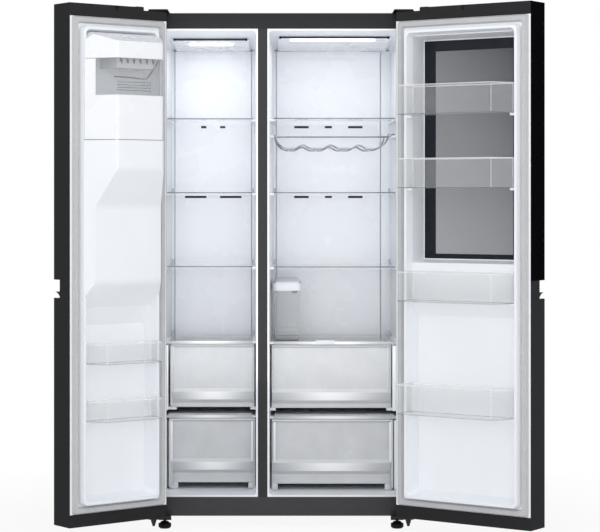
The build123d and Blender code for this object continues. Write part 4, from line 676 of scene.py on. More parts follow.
# cold air outlets in the back panels: a dark sleeve with upright fins
outletSizes = {
    "height": 8 * mm, "sink": 5 * mm, "proud": 0.6 * mm, "corner": 2.2 * mm, "wall": 1.0 * mm,
    "finPitch": 9 * mm, "finWidth": 1.4 * mm, "finInset": 0.8 * mm, "finEdge": 0.3 * mm,
    "upperDrop": 18.5 * mm, "lowerDrop": 277.5 * mm,
    # each outlet: its width and its place beside the panel's middle, in mm
    "freezer": {"upper": ((20, -35), (20, 35)), "lower": ((80, -65), (80, 65))},
    "fridge": {"upper": ((54, -100), (26, 0), (54, 100)), "lower": ((54, -100), (26, 0), (54, 100))},
}
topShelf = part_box("fridge_shelves")[1].z
finHalf = outletSizes["finWidth"] / 2
for compartment in ("freezer", "fridge"):
    panelLow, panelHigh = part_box(compartment + "_duct_panel")
    panelMiddle = (panelLow.x + panelHigh.x) / 2
    front = panelLow.y - outletSizes["proud"]
    back = panelLow.y + outletSizes["sink"]
    deep = back - outletSizes["wall"]
    sleeves = []
    finShapes = []
    for row in ("upper", "lower"):
        height = topShelf - outletSizes[row + "Drop"]
        for width, offset in outletSizes[compartment][row]:
            middle = panelMiddle + offset * mm
            half = Vector((width * mm / 2, outletSizes["height"] / 2))
            outline = roundedRectangle(
                (middle - half.x, height - half.y), (middle + half.x, height + half.y),
                outletSizes["corner"])
            inner = insetOutline(outline, outletSizes["wall"])
            sleeves.append(skinLoops([
                [Vector((point.x, depth, point.y)) for point in ring]
                for ring, depth in ((outline, back), (outline, front), (inner, front), (inner, deep))]))
            count = max(1, round(width * mm / outletSizes["finPitch"]) - 1)
            step = width * mm / (count + 1)
            finRise = half.y - outletSizes["finInset"]
            fin = buildMesh(
                "fin",
                *boxShape((-finHalf, front + outletSizes["finInset"], -finRise), (finHalf, deep, finRise)),
                ["paintedSteelBar"], rounding=outletSizes["finEdge"])
            fins = growMesh(
                "fins", rowTree, fin, "paintedSteelBar",
                {"Count": count, "Start": (middle - half.x + step, 0.0, height), "Step": (step, 0.0, 0.0)})
            finShapes.append((
                [vertex.co.copy() for vertex in fins.vertices],
                [tuple(polygon.vertices) for polygon in fins.polygons]))
    makePiece(
        compartment + "AirOutlets", joinShapes(sleeves + finShapes), "paintedSteelBar",
        "cabinet", "black_plastic")
print("air outlets made")

# drawers and the covers over them: a foil strip over each grip and along each cover's front
stripSizes = {
    "height": 28 * mm, "thickness": 1.0 * mm, "crown": 1.2 * mm, "endInset": 3 * mm,
    "segments": 24, "bowSteps": 6, "rise": {"upper": 27 * mm, "lower": 46 * mm},
    "coverThickness": 0.3 * mm, "coverCrown": 0.3 * mm, "coverDrop": 1.0 * mm, "coverBelow": 0.7,
}


# a strip with a bowed face, which knows how far along it each point is for the foil's painted highlight
def addStrip(name, body, left, right, back, bottom, height, thickness, crown):
    profile = [(back, bottom), (back, bottom + height)]
    for step in range(stripSizes["bowSteps"] + 1):
        share = step / stripSizes["bowSteps"]
        bow = thickness + crown * math.sin(math.pi * share)
        profile.append((back - bow, bottom + height * (1 - share)))
    loops = []
    for step in range(stripSizes["segments"] + 1):
        across = left + (right - left) * step / stripSizes["segments"]
        loops.append([Vector((across, depth, rise)) for depth, rise in profile])
    strip = buildMesh(name, *skinLoops(loops), ["hotStampedFoil"])
    along = strip.attributes.new("alongStrip", "FLOAT", "POINT")
    for vertex in strip.vertices:
        along.data[vertex.index].value = (vertex.co.x - left) / (right - left)
    addPiece(name, strip, body, "trim_silver")


for compartment in ("freezer", "fridge"):
    for level in ("upper", "lower"):
        drawer = f"{compartment}_drawer_{level}"
        drawerLow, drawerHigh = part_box(drawer)
        addStrip(
            drawer + "Strip", drawer,
            drawerLow.x + stripSizes["endInset"], drawerHigh.x - stripSizes["endInset"],
            drawerLow.y, drawerLow.z + stripSizes["rise"][level], stripSizes["height"],
            stripSizes["thickness"], stripSizes["crown"])
lowTrims = sorted(
    (box for box in solidBoxes("shelf_trims") if box[1].z < stripSizes["coverBelow"]),
    key=lambda box: (box[0].x, box[0].z))
for index, (trimLow, trimHigh) in enumerate(lowTrims):
    addStrip(
        f"coverStrip{index + 1}", "cabinet", trimLow.x, trimHigh.x, trimLow.y, trimLow.z,
        trimHigh.z - trimLow.z - stripSizes["coverDrop"],
        stripSizes["coverThickness"], stripSizes["coverCrown"])

# a white sheet on each of the lower covers
sheetSizes = {"inset": 3 * mm, "thickness": 0.6 * mm, "edge": 0.1 * mm}
for compartment in ("freezer", "fridge"):
    shelfLow, shelfHigh = min(solidBoxes(compartment + "_shelves"), key=lambda box: box[0].z)
    inset = sheetSizes["inset"]
    makePiece(
        compartment + "CoverSheet",
        boxShape(
            (shelfLow.x + inset, shelfLow.y + inset, shelfHigh.z),
            (shelfHigh.x - inset, shelfHigh.y - inset, shelfHigh.z + sheetSizes["thickness"])),
        "mouldedAbsWhite", "cabinet", "drawer_plastic", rounding=sheetSizes["edge"])
print("foil strips and cover sheets made")

# drawer fronts: a bright rim along the top and down both sides, side flanges, and legs on the lower ones
rimSizes = {
    "width": 4 * mm, "barWidth": {"upper": 4 * mm, "lower": 8 * mm}, "proud": 1.0 * mm, "edge": 0.4 * mm,
    "sideInset": {"upper": 9 * mm, "lower": 6 * mm}, "topInset": 1 * mm, "footRise": 3 * mm,
    # the upper drawers' rim takes the painted highlight of the clear mouldings
    "finish": {"upper": "clearPolystyreneRim", "lower": "mouldedAbsWhite"}, "plateTop": 1 * mm,
    "flangeDepth": 4 * mm, "flangeCorner": 7 * mm, "flangeCut": 0.8, "flangeOverlap": 1 * mm,
    "flangeEdge": 0.8 * mm, "flangeDrop": {"upper": 0, "lower": 20 * mm},
    "flange": {
        "freezer_drawer_upper": (7 * mm, 0.5 * mm), "freezer_drawer_lower": (13 * mm, 2.5 * mm),
        "fridge_drawer_upper": (0.5 * mm, 1.5 * mm), "fridge_drawer_lower": (0.5 * mm, 9 * mm)},
    "legWidth": 20 * mm, "legGap": 0.5 * mm,
}
for compartment in ("freezer", "fridge"):
    for level in ("upper", "lower"):
        drawer = f"{compartment}_drawer_{level}"
        drawerLow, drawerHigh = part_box(drawer)
        plate = min(
            vertex.co.y for vertex in nodes[drawer].data.vertices
            if vertex.co.z > drawerHigh.z - rimSizes["plateTop"])
        foot = drawerLow.z + stripSizes["rise"][level] + stripSizes["height"] + rimSizes["footRise"]
        head = drawerHigh.z - rimSizes["topInset"]
        front = plate - rimSizes["proud"]
        leftReach, rightReach = rimSizes["flange"][drawer]
        left = drawerLow.x - leftReach
        right = drawerHigh.x + rightReach
        barWidth = rimSizes["barWidth"][level]
        sideInset = rimSizes["sideInset"][level]
        rimShapes = [boxShape(
            (left + rimSizes["topInset"], front, head - rimSizes["width"]),
            (right - rimSizes["topInset"], plate, head))]
        for side in (left + sideInset, right - sideInset - barWidth):
            rimShapes.append(boxShape(
                (side, front, foot), (side + barWidth, plate, head - 2 * rimSizes["width"])))
        makePiece(
            drawer + "Rim", joinShapes(rimShapes), rimSizes["finish"][level], drawer, "clear_plastic",
            rounding=rimSizes["edge"])

        flangeFoot = drawerLow.z - rimSizes["flangeDrop"][level]
        flangeBack = plate + rimSizes["flangeDepth"]
        legTop = drawerLow.z - rimSizes["legGap"]
        overlap = rimSizes["flangeOverlap"]
        flangeShapes = []
        for edge, inner in ((left, drawerLow.x + overlap), (right, drawerHigh.x - overlap)):
            reach = inner - edge
            cut = math.copysign(min(rimSizes["flangeCorner"], abs(reach) * rimSizes["flangeCut"]), reach)
            outline = [
                (inner, flangeFoot), (edge + cut, flangeFoot), (edge, flangeFoot + abs(cut)),
                (edge, head - abs(cut)), (edge + cut, head), (inner, head)]
            flangeShapes.append(plateShape(outline, plate, flangeBack))
            if level == "lower":
                legInner = inner + math.copysign(rimSizes["legWidth"], reach)
                legOutline = [
                    (inner, flangeFoot), (legInner, flangeFoot), (legInner, legTop), (inner, legTop)]
                flangeShapes.append(plateShape(legOutline, plate, flangeBack))
        makePiece(
            drawer + "Flange", joinShapes(flangeShapes), "frostedPolystyrene", drawer, "drawer_plastic",
            rounding=rimSizes["flangeEdge"])
print("drawer fronts made")

# drawer guides: white walls beside the drawers, on the doors' hinge sides
guideSizes = {
    "wall": 416 * mm, "round": 3 * mm, "drop": 2.5 * mm, "front": 8 * mm, "back": 20 * mm,
    "foot": {"upper": 10 * mm, "lower": 20 * mm},
    "freezer": {"upper": 398.5 * mm, "lower": 403 * mm},
    "fridge": {"upper": 391.5 * mm, "lower": 398 * mm},
}
for compartment, edge in (("freezer", -1), ("fridge", 1)):
    guideShapes = []
    for level in ("upper", "lower"):
        drawerLow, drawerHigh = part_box(f"{compartment}_drawer_{level}")
        ends = sorted(edge * reach for reach in (guideSizes[compartment][level], guideSizes["wall"]))
        guideShapes.append(boxShape(
            (ends[0], drawerLow.y - guideSizes["front"], drawerLow.z - guideSizes["foot"][level]),
            (ends[1], drawerHigh.y - guideSizes["back"], drawerHigh.z - guideSizes["drop"])))
    makePiece(
        compartment + "DrawerGuides", joinShapes(guideShapes), "formedPolystyrene",
        "cabinet", "liner_white", rounding=guideSizes["round"])
print("drawer guides made")

# back panels: white infills up to the liner's walls, with a fine joint along each panel
infillSizes = {
    "joint": 1.6 * mm, "setBack": 0.8 * mm, "thickness": 4 * mm, "edge": 0.6 * mm,
    "reach": {"freezer": (12 * mm, 12 * mm), "fridge": (12 * mm, 37 * mm)},
}
for compartment, (leftReach, rightReach) in infillSizes["reach"].items():
    panelLow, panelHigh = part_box(compartment + "_duct_panel")
    front = panelLow.y + infillSizes["setBack"]
    back = front + infillSizes["thickness"]
    infillShapes = [
        boxShape((left, front, panelLow.z), (right, back, panelHigh.z))
        for left, right in (
            (panelLow.x - leftReach, panelLow.x - infillSizes["joint"]),
            (panelHigh.x + infillSizes["joint"], panelHigh.x + rightReach))]
    makePiece(
        compartment + "PanelInfills", joinShapes(infillShapes), "formedPolystyrene",
        "cabinet", "liner_white", rounding=infillSizes["edge"])
print("panel infills made")

# glass shelves: the ground edge seen over the clear edging, and a support at each back corner
shelfSizes = {
    "edgeHeight": 4 * mm, "edgeProud": 0.5 * mm, "edgeRound": 0.3 * mm, "lowest": 0.7,
    "supportWidth": 7 * mm, "supportRise": 15 * mm, "supportRound": 0.8 * mm,
    # a support from the side: depth in mm, and height as a share of its rise
    "supportOutline": ((486, 0), (458, 0), (466, 0.4), (480, 1), (486, 1)),
}
edgeShapes = []
supportShapes = []
for trimLow, trimHigh in solidBoxes("shelf_trims"):
    if trimHigh.z > shelfSizes["lowest"]:
        edgeShapes.append(boxShape(
            (trimLow.x, trimLow.y - shelfSizes["edgeProud"], trimHigh.z - shelfSizes["edgeHeight"]),
            (trimHigh.x, trimLow.y + shelfSizes["edgeProud"], trimHigh.z)))
    outline = [
        (depth * mm, trimHigh.z + share * shelfSizes["supportRise"])
        for depth, share in shelfSizes["supportOutline"]]
    for wall, inward in ((trimLow.x, 1), (trimHigh.x, -1)):
        supportShapes.append(skinLoops([
            [Vector((across, depth, height)) for depth, height in outline]
            for across in (wall, wall + inward * shelfSizes["supportWidth"])]))
makePiece(
    "shelfGlassEdges", joinShapes(edgeShapes), "floatGlassEdge", "cabinet", "shelf_glass",
    rounding=shelfSizes["edgeRound"])
makePiece(
    "shelfSupports", joinShapes(supportShapes), "silverPaintedAbs", "cabinet", "trim_silver",
    rounding=shelfSizes["supportRound"])
print("shelf edges and supports made")

# water tank: a clear tapering tank under a white lid whose skirt laps over it
tankSizes = {
    "corner": 14 * mm, "taper": 5 * mm, "wall": 2.5 * mm, "floor": 3 * mm, "foot": 4 * mm,
    "lineRise": 30 * mm, "lineHeight": 1 * mm, "rimDrop": 16 * mm, "rimLine": 2 * mm,
    "lap": 2.5 * mm, "skirt": 11 * mm, "skirtGap": 0.3 * mm, "lidEdge": 0.8 * mm,
    "fall": 12 * mm, "sag": 0.6, "shoulder": 2 * mm, "crown": 7 * mm,
    "latchWidth": 16 * mm, "latchHeight": 9 * mm, "latchInset": 13 * mm, "latchLap": 1 * mm,
    "latchEdge": 1.5 * mm,
}
tankLow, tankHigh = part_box("water_tank")
lidLow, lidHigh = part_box("water_tank_lid")
tankOutline = roundedRectangle((tankLow.x, tankLow.y), (tankHigh.x, tankHigh.y), tankSizes["corner"])
tankRise = tankHigh.z - tankLow.z


# the tank's outline at a height, narrower towards the foot
def tankLoop(inset, height):
    share = 1 - (height - tankLow.z) / tankRise
    outline = insetOutline(tankOutline, inset + share * tankSizes["taper"])
    return [Vector((*point, height)) for point in outline]


# each loop: how far inside the outline, its height, and the finish of the band above it
tankLine = tankLow.z + tankSizes["lineRise"]
tankRim = tankHigh.z - tankSizes["rimDrop"]
tankProfile = [
    (tankSizes["foot"], tankLow.z, 2),
    (0, tankLow.z + tankSizes["foot"], 3),
    (0, tankLine, 2),
    (0, tankLine + tankSizes["lineHeight"], 3),
    (0, tankRim, 2),
    (0, tankRim + tankSizes["rimLine"], 1),
    (0, tankHigh.z, 1),
    (tankSizes["wall"], tankHigh.z, 0),
    (tankSizes["wall"], tankLow.z + tankSizes["floor"] + tankSizes["foot"], 0),
    (tankSizes["wall"] + tankSizes["foot"], tankLow.z + tankSizes["floor"], 0),
]
tankShape = skinLoops([tankLoop(inset, height) for inset, height, band in tankProfile])
tankBands = [band for inset, height, band in tankProfile[:-1] for point in tankOutline] + [0, 0]
tank = buildMesh(
    "waterTankShell", *tankShape,
    ["clearPolystyrene", "clearPolystyreneRim", "clearPolystyreneFoot", "milkyPolystyrene"],
    finishOf=tankBands)
addPiece("waterTankShell", tank, "water_tank", "clear_plastic", "water_tank")

lidOutline = roundedRectangle((lidLow.x, lidLow.y), (lidHigh.x, lidHigh.y), tankSizes["corner"])
lidRise = lidHigh.z - lidLow.z
lidSide = lidRise - tankSizes["fall"]
lidLoops = []
# each loop: how far inside the outline, its rise, and its share of the fall towards the front
for inset, rise, sag in (
        (tankSizes["skirtGap"], -tankSizes["skirt"], 0), (-tankSizes["lap"], -tankSizes["skirt"], 0),
        (-tankSizes["lap"], lidSide, 0), (0, lidSide + tankSizes["shoulder"], tankSizes["sag"]),
        (tankSizes["crown"], lidRise, tankSizes["sag"])):
    loop = []
    for point in insetOutline(lidOutline, inset):
        depth = (point.y - lidLow.y) / (lidHigh.y - lidLow.y)
        loop.append(Vector((*point, lidLow.z + rise - tankSizes["fall"] * sag * (1 - depth))))
    lidLoops.append(loop)
makePiece(
    "waterTankLid", skinLoops(lidLoops), "mouldedPolypropylene", "water_tank", "liner_white",
    rounding=tankSizes["lidEdge"], replaced=["water_tank_lid"])
latchRight = lidHigh.x - tankSizes["latchInset"]
latchLeft = latchRight - tankSizes["latchWidth"]
latchTop = lidLow.z - tankSizes["skirt"]
makePiece(
    "waterTankLatch",
    boxShape(
        (latchLeft, lidLow.y - tankSizes["lap"], latchTop - tankSizes["latchHeight"]),
        (latchRight, lidLow.y + tankSizes["latchLap"], latchTop + tankSizes["latchLap"])),
    "mouldedAbsGrey", "water_tank", "liner_white", rounding=tankSizes["latchEdge"])
print("water tank made")

# window: a baked ink border round the glass
borderSizes = {
    "side": 44 * mm, "top": 36 * mm, "bottom": 16.5 * mm, "thickness": 0.5 * mm, "corner": 3 * mm}
paneLow, paneHigh = cornersOf(shutPoints("window_pane", "fridge"))
borderOuter = roundedRectangle((paneLow.x, paneLow.z), (paneHigh.x, paneHigh.z), borderSizes["corner"])
borderInner = roundedRectangle(
    (paneLow.x + borderSizes["side"], paneLow.z + borderSizes["bottom"]),
    (paneHigh.x - borderSizes["side"], paneHigh.z - borderSizes["top"]), borderSizes["corner"])
borderFace = paneHigh.y + borderSizes["thickness"]
borderLoops = [
    [Vector((point.x, depth, point.y)) for point in outline]
    for outline, depth in (
        (borderOuter, paneHigh.y), (borderOuter, borderFace),
        (borderInner, borderFace), (borderInner, paneHigh.y))]
makePiece(
    "windowBorder", skinLoops(borderLoops, joined=True), "ceramicInk", "fridge_door", "window_dark",
    swings["fridge"])
print("window border made")

# door bins: clear tubs with a thick rim and a rounded foot
binSizes = {
    "wall": 2.5 * mm, "setBack": 0.6 * mm, "rimHeight": 4 * mm, "foot": 2.5 * mm, "floor": 2.5 * mm,
    "corner": 2.2 * mm, "arcStep": 9 * mm, "rimEdge": 0.8 * mm, "lipInset": 0.5 * mm, "lipDrop": 1 * mm}
doorBins = {
    "freezer": ["freezer_door_bin_lower", "freezer_door_bin_upper"],
    "fridge": [
        "fridge_door_bin_bottom", "fridge_door_bin_lower", "fridge_door_bin_upper", "fridge_door_bin_top"],
}
for door, binNames in doorBins.items():
    for binName in binNames:
        points = shutPoints(binName, door)
        outline = nipCorners(footOutline(points), binSizes["corner"])
        low = min(point.z for point in points)
        high = max(point.z for point in points)
        rise = binSizes["rimHeight"]
        # light gathers at the corners: the middle face of each bend gets the rim's painted highlight
        bends = [
            (outline[(index + 1) % len(outline)] - point).length < binSizes["arcStep"]
            for index, point in enumerate(outline)]
        highlightFaces = set()
        for index, bend in enumerate(bends):
            if bend and not bends[index - 1]:
                run = 0
                while bends[(index + run) % len(bends)]:
                    run += 1
                highlightFaces.add((index + run // 2) % len(bends))
        # each loop: how far inside the outline, its height, and the finish of the band above it
        profile = [
            (binSizes["foot"], low, 2),
            (binSizes["setBack"], low + binSizes["foot"], 0),
            (binSizes["setBack"], high - rise, 1),
            (0, high - rise + binSizes["rimEdge"], 1),
            (0, high - binSizes["rimEdge"], 1),
            (binSizes["rimEdge"], high, 1),
            (binSizes["wall"] - binSizes["lipInset"], high, 1),
            (binSizes["wall"], high - binSizes["lipDrop"], 0),
            (binSizes["wall"], low + binSizes["floor"] + binSizes["foot"], 0),
            (binSizes["wall"] + binSizes["foot"], low + binSizes["floor"], 0),
        ]
        loops = [
            [Vector((point.x, point.y, height)) for point in insetOutline(outline, inset)]
            for inset, height, band in profile]
        bands = [
            1 if band == 0 and index in highlightFaces else band
            for inset, height, band in profile[:-1] for index in range(len(outline))] + [0, 0]
        tub = buildMesh(
            binName + "Tub", *skinLoops(loops),
            ["clearPolystyrene", "clearPolystyreneRim", "clearPolystyreneFoot"], swings[door],
            finishOf=bands)
        addPiece(binName + "Tub", tub, binName, "clear_plastic", binName)
print("door bins made")

# bottle rack: round chromed wire, two waves joined by cross wires
rackSizes = {
    "radius": 3.0 * mm, "dip": 50 * mm, "hump": 12 * mm, "humpHalf": 31 * mm, "pitch": 98 * mm,
    "offset": 14 * mm, "hook": 21 * mm, "arcSteps": 12, "floorSteps": 90,
    "crossWires": (-147 * mm, -49 * mm, 49 * mm, 147 * mm),
}
rackLow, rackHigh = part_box("bottle_rack")
rackTop = rackHigh.z - rackSizes["radius"]
rackFloor = rackTop - rackSizes["dip"]
rackLeft = rackLow.x + rackSizes["radius"]
rackRight = rackHigh.x - rackSizes["radius"]
rackMiddle = (rackLeft + rackRight) / 2 - rackSizes["offset"]
rackFront = rackLow.y + rackSizes["radius"]
rackBack = rackHigh.y - rackSizes["radius"]
floorHalf = 1.5 * rackSizes["pitch"]
hookStart = rackRight - rackSizes["hook"]


# a quarter bend from the top of the rack to its floor
def rackBend(top, foot):
    return [
        (foot + (top - foot) * math.cos(angle), rackTop - rackSizes["dip"] * math.sin(angle))
        for angle in (math.pi / 2 * step / rackSizes["arcSteps"] for step in range(rackSizes["arcSteps"]))]


rackProfile = rackBend(rackLeft, rackMiddle - floorHalf)
for step in range(rackSizes["floorSteps"] + 1):
    offset = floorHalf * (2 * step / rackSizes["floorSteps"] - 1)
    nearest = min(abs(offset - hump * rackSizes["pitch"]) for hump in (-1, 0, 1))
    share = min(nearest / rackSizes["humpHalf"], 1)
    rackProfile.append((
        rackMiddle + offset, rackFloor + rackSizes["hump"] * math.cos(math.pi / 2 * share) ** 2))
rackProfile.extend(reversed(rackBend(hookStart, rackMiddle + floorHalf)))
rackProfile.append((rackRight, rackTop))
rackWires = [
    wireShape([Vector((across, depth, height)) for across, height in rackProfile], rackSizes["radius"])
    for depth in (rackFront, rackBack)]
rackRails = [
    ((rackLeft, rackFront, rackTop), (rackLeft, rackBack, rackTop)),
    ((rackRight, rackFront, rackTop), (rackRight, rackBack, rackTop)),
    ((rackLeft, rackBack, rackTop), (rackRight, rackBack, rackTop)),
]
for offset in rackSizes["crossWires"]:
    across = rackMiddle + offset
    rackRails.append(((across, rackFront, rackFloor), (across, rackBack, rackFloor)))
for start, end in rackRails:
    middle = (Vector(start) + Vector(end)) / 2
    rackWires.append(wireShape([Vector(start), middle, Vector(end)], rackSizes["radius"]))
makePiece(
    "bottleRackWires", joinShapes(rackWires), "chromedWire", "cabinet", "rack_chrome",
    replaced=["bottle_rack"])
print("bottle rack made")

# ice maker behind the clear bucket: ejector fingers, and ribs on the bucket's front
iceSizes = {
    "fingerCount": 6, "fingerHeight": 20 * mm, "fingerWidth": 3 * mm, "fingerReach": 12 * mm,
    "fingerEdge": 0.6 * mm, "fingerSetBack": 2 * mm, "fingerDrop": 10 * mm,
    # a finger from the side, as shares of its reach and height
    "fingerOutline": ((0, 0), (1, -0.4), (0.7, -1), (-0.2, -0.3)),
    "ribCount": 4, "ribPitch": 9 * mm, "ribHeight": 2 * mm, "ribProud": 0.9 * mm, "ribSink": 0.5 * mm,
    "ribEdge": 0.4 * mm, "ribStart": 14 * mm, "ribEnds": (155 * mm, 290 * mm),
    "armRadius": 2.2 * mm, "armDepth": 104 * mm,
    # the arm's path: across from the door's hinge edge and height, in mm
    "armPath": (
        (292, 1538), (230, 1536), (172, 1533), (160, 1537), (148, 1552), (128, 1576), (116, 1594)),
    "seamHeight": 2.2 * mm, "seamProud": 2.0 * mm, "seamGap": 0.1 * mm,
}
trayLow, trayHigh = cornersOf(shutPoints("ice_tray", "freezer"))
fingerPitch = (trayHigh.x - trayLow.x) / iceSizes["fingerCount"]
fingerLoops = [
    [Vector((across, reach * iceSizes["fingerReach"], rise * iceSizes["fingerHeight"]))
     for reach, rise in iceSizes["fingerOutline"]]
    for across in (-iceSizes["fingerWidth"] / 2, iceSizes["fingerWidth"] / 2)]
finger = buildMesh("finger", *skinLoops(fingerLoops), ["mouldedAbsDark"], rounding=iceSizes["fingerEdge"])
fingerStart = (
    trayLow.x + fingerPitch / 2, trayHigh.y - iceSizes["fingerSetBack"],
    trayHigh.z - iceSizes["fingerDrop"])
fingers = growMesh(
    "ejectorFingers", rowTree, finger, "mouldedAbsDark",
    {"Count": iceSizes["fingerCount"], "Start": fingerStart, "Step": (fingerPitch, 0.0, 0.0)})
fingers.transform(swings["freezer"])
addPiece("ejectorFingers", fingers, "freezer_door", "cap_dark_plastic")

bucketLow, bucketHigh = cornersOf(shutPoints("ice_bin_window", "freezer"))
doorEdge = cornersOf(shutPoints("freezer_door_skin", "freezer"))[0].x
ribLeft, ribRight = (doorEdge + end for end in iceSizes["ribEnds"])
# the ribs take the painted shade of the clear mouldings' feet
rib = buildMesh(
    "rib",
    *boxShape(
        (ribLeft, bucketHigh.y - iceSizes["ribSink"], 0),
        (ribRight, bucketHigh.y + iceSizes["ribProud"], iceSizes["ribHeight"])),
    ["clearPolystyreneFoot"], rounding=iceSizes["ribEdge"])
ribs = growMesh(
    "bucketRibs", rowTree, rib, "clearPolystyreneFoot",
    {"Count": iceSizes["ribCount"], "Start": (0.0, 0.0, bucketLow.z + iceSizes["ribStart"]),
     "Step": (0.0, 0.0, iceSizes["ribPitch"])})
ribs.transform(swings["freezer"])
addPiece("bucketRibs", ribs, "ice_bin", "clear_plastic")

# the arm that feels how full the bucket is
armPoints = [
    Vector((doorEdge + across * mm, iceSizes["armDepth"], height * mm))
    for across, height in iceSizes["armPath"]]
makePiece(
    "bucketFeelerArm", wireShape(armPoints, iceSizes["armRadius"]), "mouldedAbsBlack",
    "freezer_door", "black_plastic", swings["freezer"])

# joint under the bucket
bucketPoints = shutPoints("ice_bin", "freezer")
bucketBottom = min(point.z for point in bucketPoints)
seamOutline = insetOutline(footOutline(bucketPoints), -iceSizes["seamProud"])
seamLoops = [
    [Vector((*point, height)) for point in seamOutline]
    for height in (bucketBottom - iceSizes["seamHeight"], bucketBottom - iceSizes["seamGap"])]
makePiece(
    "bucketJoint", skinLoops(seamLoops), "jointPvc", "freezer_door", "gasket_grey", swings["freezer"])
print("ice maker made")

# door caps: a raised block beside the hinge pocket and a small clip on the inner face
capSizes = {
    "blockNear": 95 * mm, "blockFar": 124 * mm, "blockRise": 1.6 * mm, "blockDrop": 26 * mm,
    "blockSetBack": 6 * mm, "blockProud": 0.8 * mm, "blockEdge": 1.2 * mm,
    "clipWidth": 13 * mm, "clipProud": 1.6 * mm, "clipSink": 1 * mm, "clipEdge": 0.5 * mm,
    "clipFrom": {"freezer": 196 * mm, "fridge": 255 * mm},
    # the clip from the front: across from its left end and down from the cap's top, in mm
    "clipOutline": ((0, 0.5), (0, 6), (6.5, 9), (3.5, 17), (13, 14), (13, 0.5)),
}
for door, edge in (("freezer", 1), ("fridge", -1)):
    capLow, capHigh = cornersOf(shutPoints(door + "_door_caps", door))
    hingeEdge = capLow.x if edge == 1 else capHigh.x
    blockEnds = sorted(hingeEdge + edge * capSizes[end] for end in ("blockNear", "blockFar"))
    makePiece(
        door + "CapBlock",
        boxShape(
            (blockEnds[0], capLow.y + capSizes["blockSetBack"], capHigh.z - capSizes["blockDrop"]),
            (blockEnds[1], capHigh.y + capSizes["blockProud"], capHigh.z + capSizes["blockRise"])),
        "mouldedAbsDark", door + "_door", "cap_dark_plastic", swings[door], capSizes["blockEdge"])
    clipLeft = min(
        hingeEdge + edge * (capSizes["clipFrom"][door] + step) for step in (0, capSizes["clipWidth"]))
    clipOutline = [
        (clipLeft + across * mm, capHigh.z - drop * mm) for across, drop in capSizes["clipOutline"]]
    makePiece(
        door + "CapClip",
        plateShape(clipOutline, capHigh.y - capSizes["clipSink"], capHigh.y + capSizes["clipProud"]),
        "mouldedAbsBlack", door + "_door", "black_plastic", swings[door], capSizes["clipEdge"])
print("cap details made")

# machine room cover: zinc-plated pan head screws round its edge
screwSizes = {
    "head": 4.5 * mm, "height": 1.7 * mm, "inset": 18 * mm, "across": 5, "sides": 16,
    # each ring of the head, as shares of its radius and height
    "rings": ((1.0, 0.0), (1.0, 0.5), (0.85, 0.85), (0.55, 1.0), (0.36, 1.0), (0.3, 0.4)),
}
coverLow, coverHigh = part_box("machine_cover")
screwAngles = [math.tau * side / screwSizes["sides"] for side in range(screwSizes["sides"])]
screwLoops = [
    [Vector((
        screwSizes["head"] * radius * math.cos(angle), screwSizes["height"] * depth,
        screwSizes["head"] * radius * math.sin(angle))) for angle in screwAngles]
    for radius, depth in screwSizes["rings"]]
screw = buildMesh("screw", *skinLoops(screwLoops), ["zincPlatedSteel"])
screwPitch = (coverHigh.x - coverLow.x - 2 * screwSizes["inset"]) / (screwSizes["across"] - 1)
screwPoints = [
    (coverLow.x + screwSizes["inset"] + screwPitch * step, coverHigh.y, height)
    for step in range(screwSizes["across"])
    for height in (coverLow.z + screwSizes["inset"], coverHigh.z - screwSizes["inset"])]
screws = growMesh("machineCoverScrews", scatterTree, screw, "zincPlatedSteel", {}, screwPoints)
addPiece("machineCoverScrews", screws, "cabinet", "hinge_steel")
print("screws made")

# levelling feet: finger ribs round the turning knob
footSizes = {
    "ribCount": 20, "ribWidth": 3 * mm, "ribDepth": 1.4 * mm, "ribBottom": 6 * mm, "ribTop": 17 * mm,
    "ribEdge": 0.6 * mm,
}
for foot in ("left_foot", "right_foot"):
    footLow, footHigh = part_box(foot)
    middle = (footLow + footHigh) / 2
    radius = (footHigh.x - footLow.x) / 2 - footSizes["ribDepth"]
    footRib = buildMesh(
        "footRib",
        *boxShape(
            (-footSizes["ribDepth"], -footSizes["ribWidth"] / 2, footSizes["ribBottom"]),
            (footSizes["ribDepth"], footSizes["ribWidth"] / 2, footSizes["ribTop"])),
        ["mouldedAbsBlack"], rounding=footSizes["ribEdge"])
    knurl = growMesh(
        foot + "Ribs", ringTree, footRib, "mouldedAbsBlack",
        {"Count": footSizes["ribCount"], "Radius": radius, "Middle": (middle.x, middle.y, 0.0)})
    addPiece(foot + "Ribs", knurl, foot, "black_plastic")
print("foot ribs made")

# studio: white sweep, soft boxes, camera in front at chest height
studio = {
    "cameraPlace": (0.0017, -7.056, 1.1349),
    "focalPixels": 2040.9,
    "imageSize": (600, 532),
    "principalPoint": (281.5, 199.13),
    "worldStrength": 0.5,
    "floorSize": 30.0,
    "shadowShare": 0.9,
    "shadowReach": (0.9, 1.9),
    "floorTone": 0xF4F4F4,
    # each light: name, place, aim, size and power
    "lights": [
        ("frontLight", (0.0, -5.2, 3.2), (0.0, 0.0, 1.0), 4.5, 63),
        ("leftLight", (-4.0, -3.0, 2.6), (0.0, 0.0, 0.9), 2.6, 25),
        ("rightLight", (4.0, -3.0, 2.6), (0.0, 0.0, 0.9), 2.6, 25),
        ("lowLight", (0.0, -4.0, 0.9), (0.0, -1.4, 0.0), 1.6, 19),
        ("topLight", (0.0, -2.2, 3.6), (0.0, -0.3, 1.0), 2.4, 16),
    ],
    "lampPower": {"freezer": 0.28, "fridge": 0.42},
    "lampDrop": 15 * mm,
    "lampAim": (0, 0.05, -1),
    "fillDistance": 0.03,
    "fillFrom": 0.5,
    "fillPower": {"freezer": 0.9, "fridge": 0.84},
}

world = bpy.data.worlds.new("studioWorld")
scene.world = world
world.use_nodes = True
worldTree = world.node_tree
worldTree.nodes.clear()


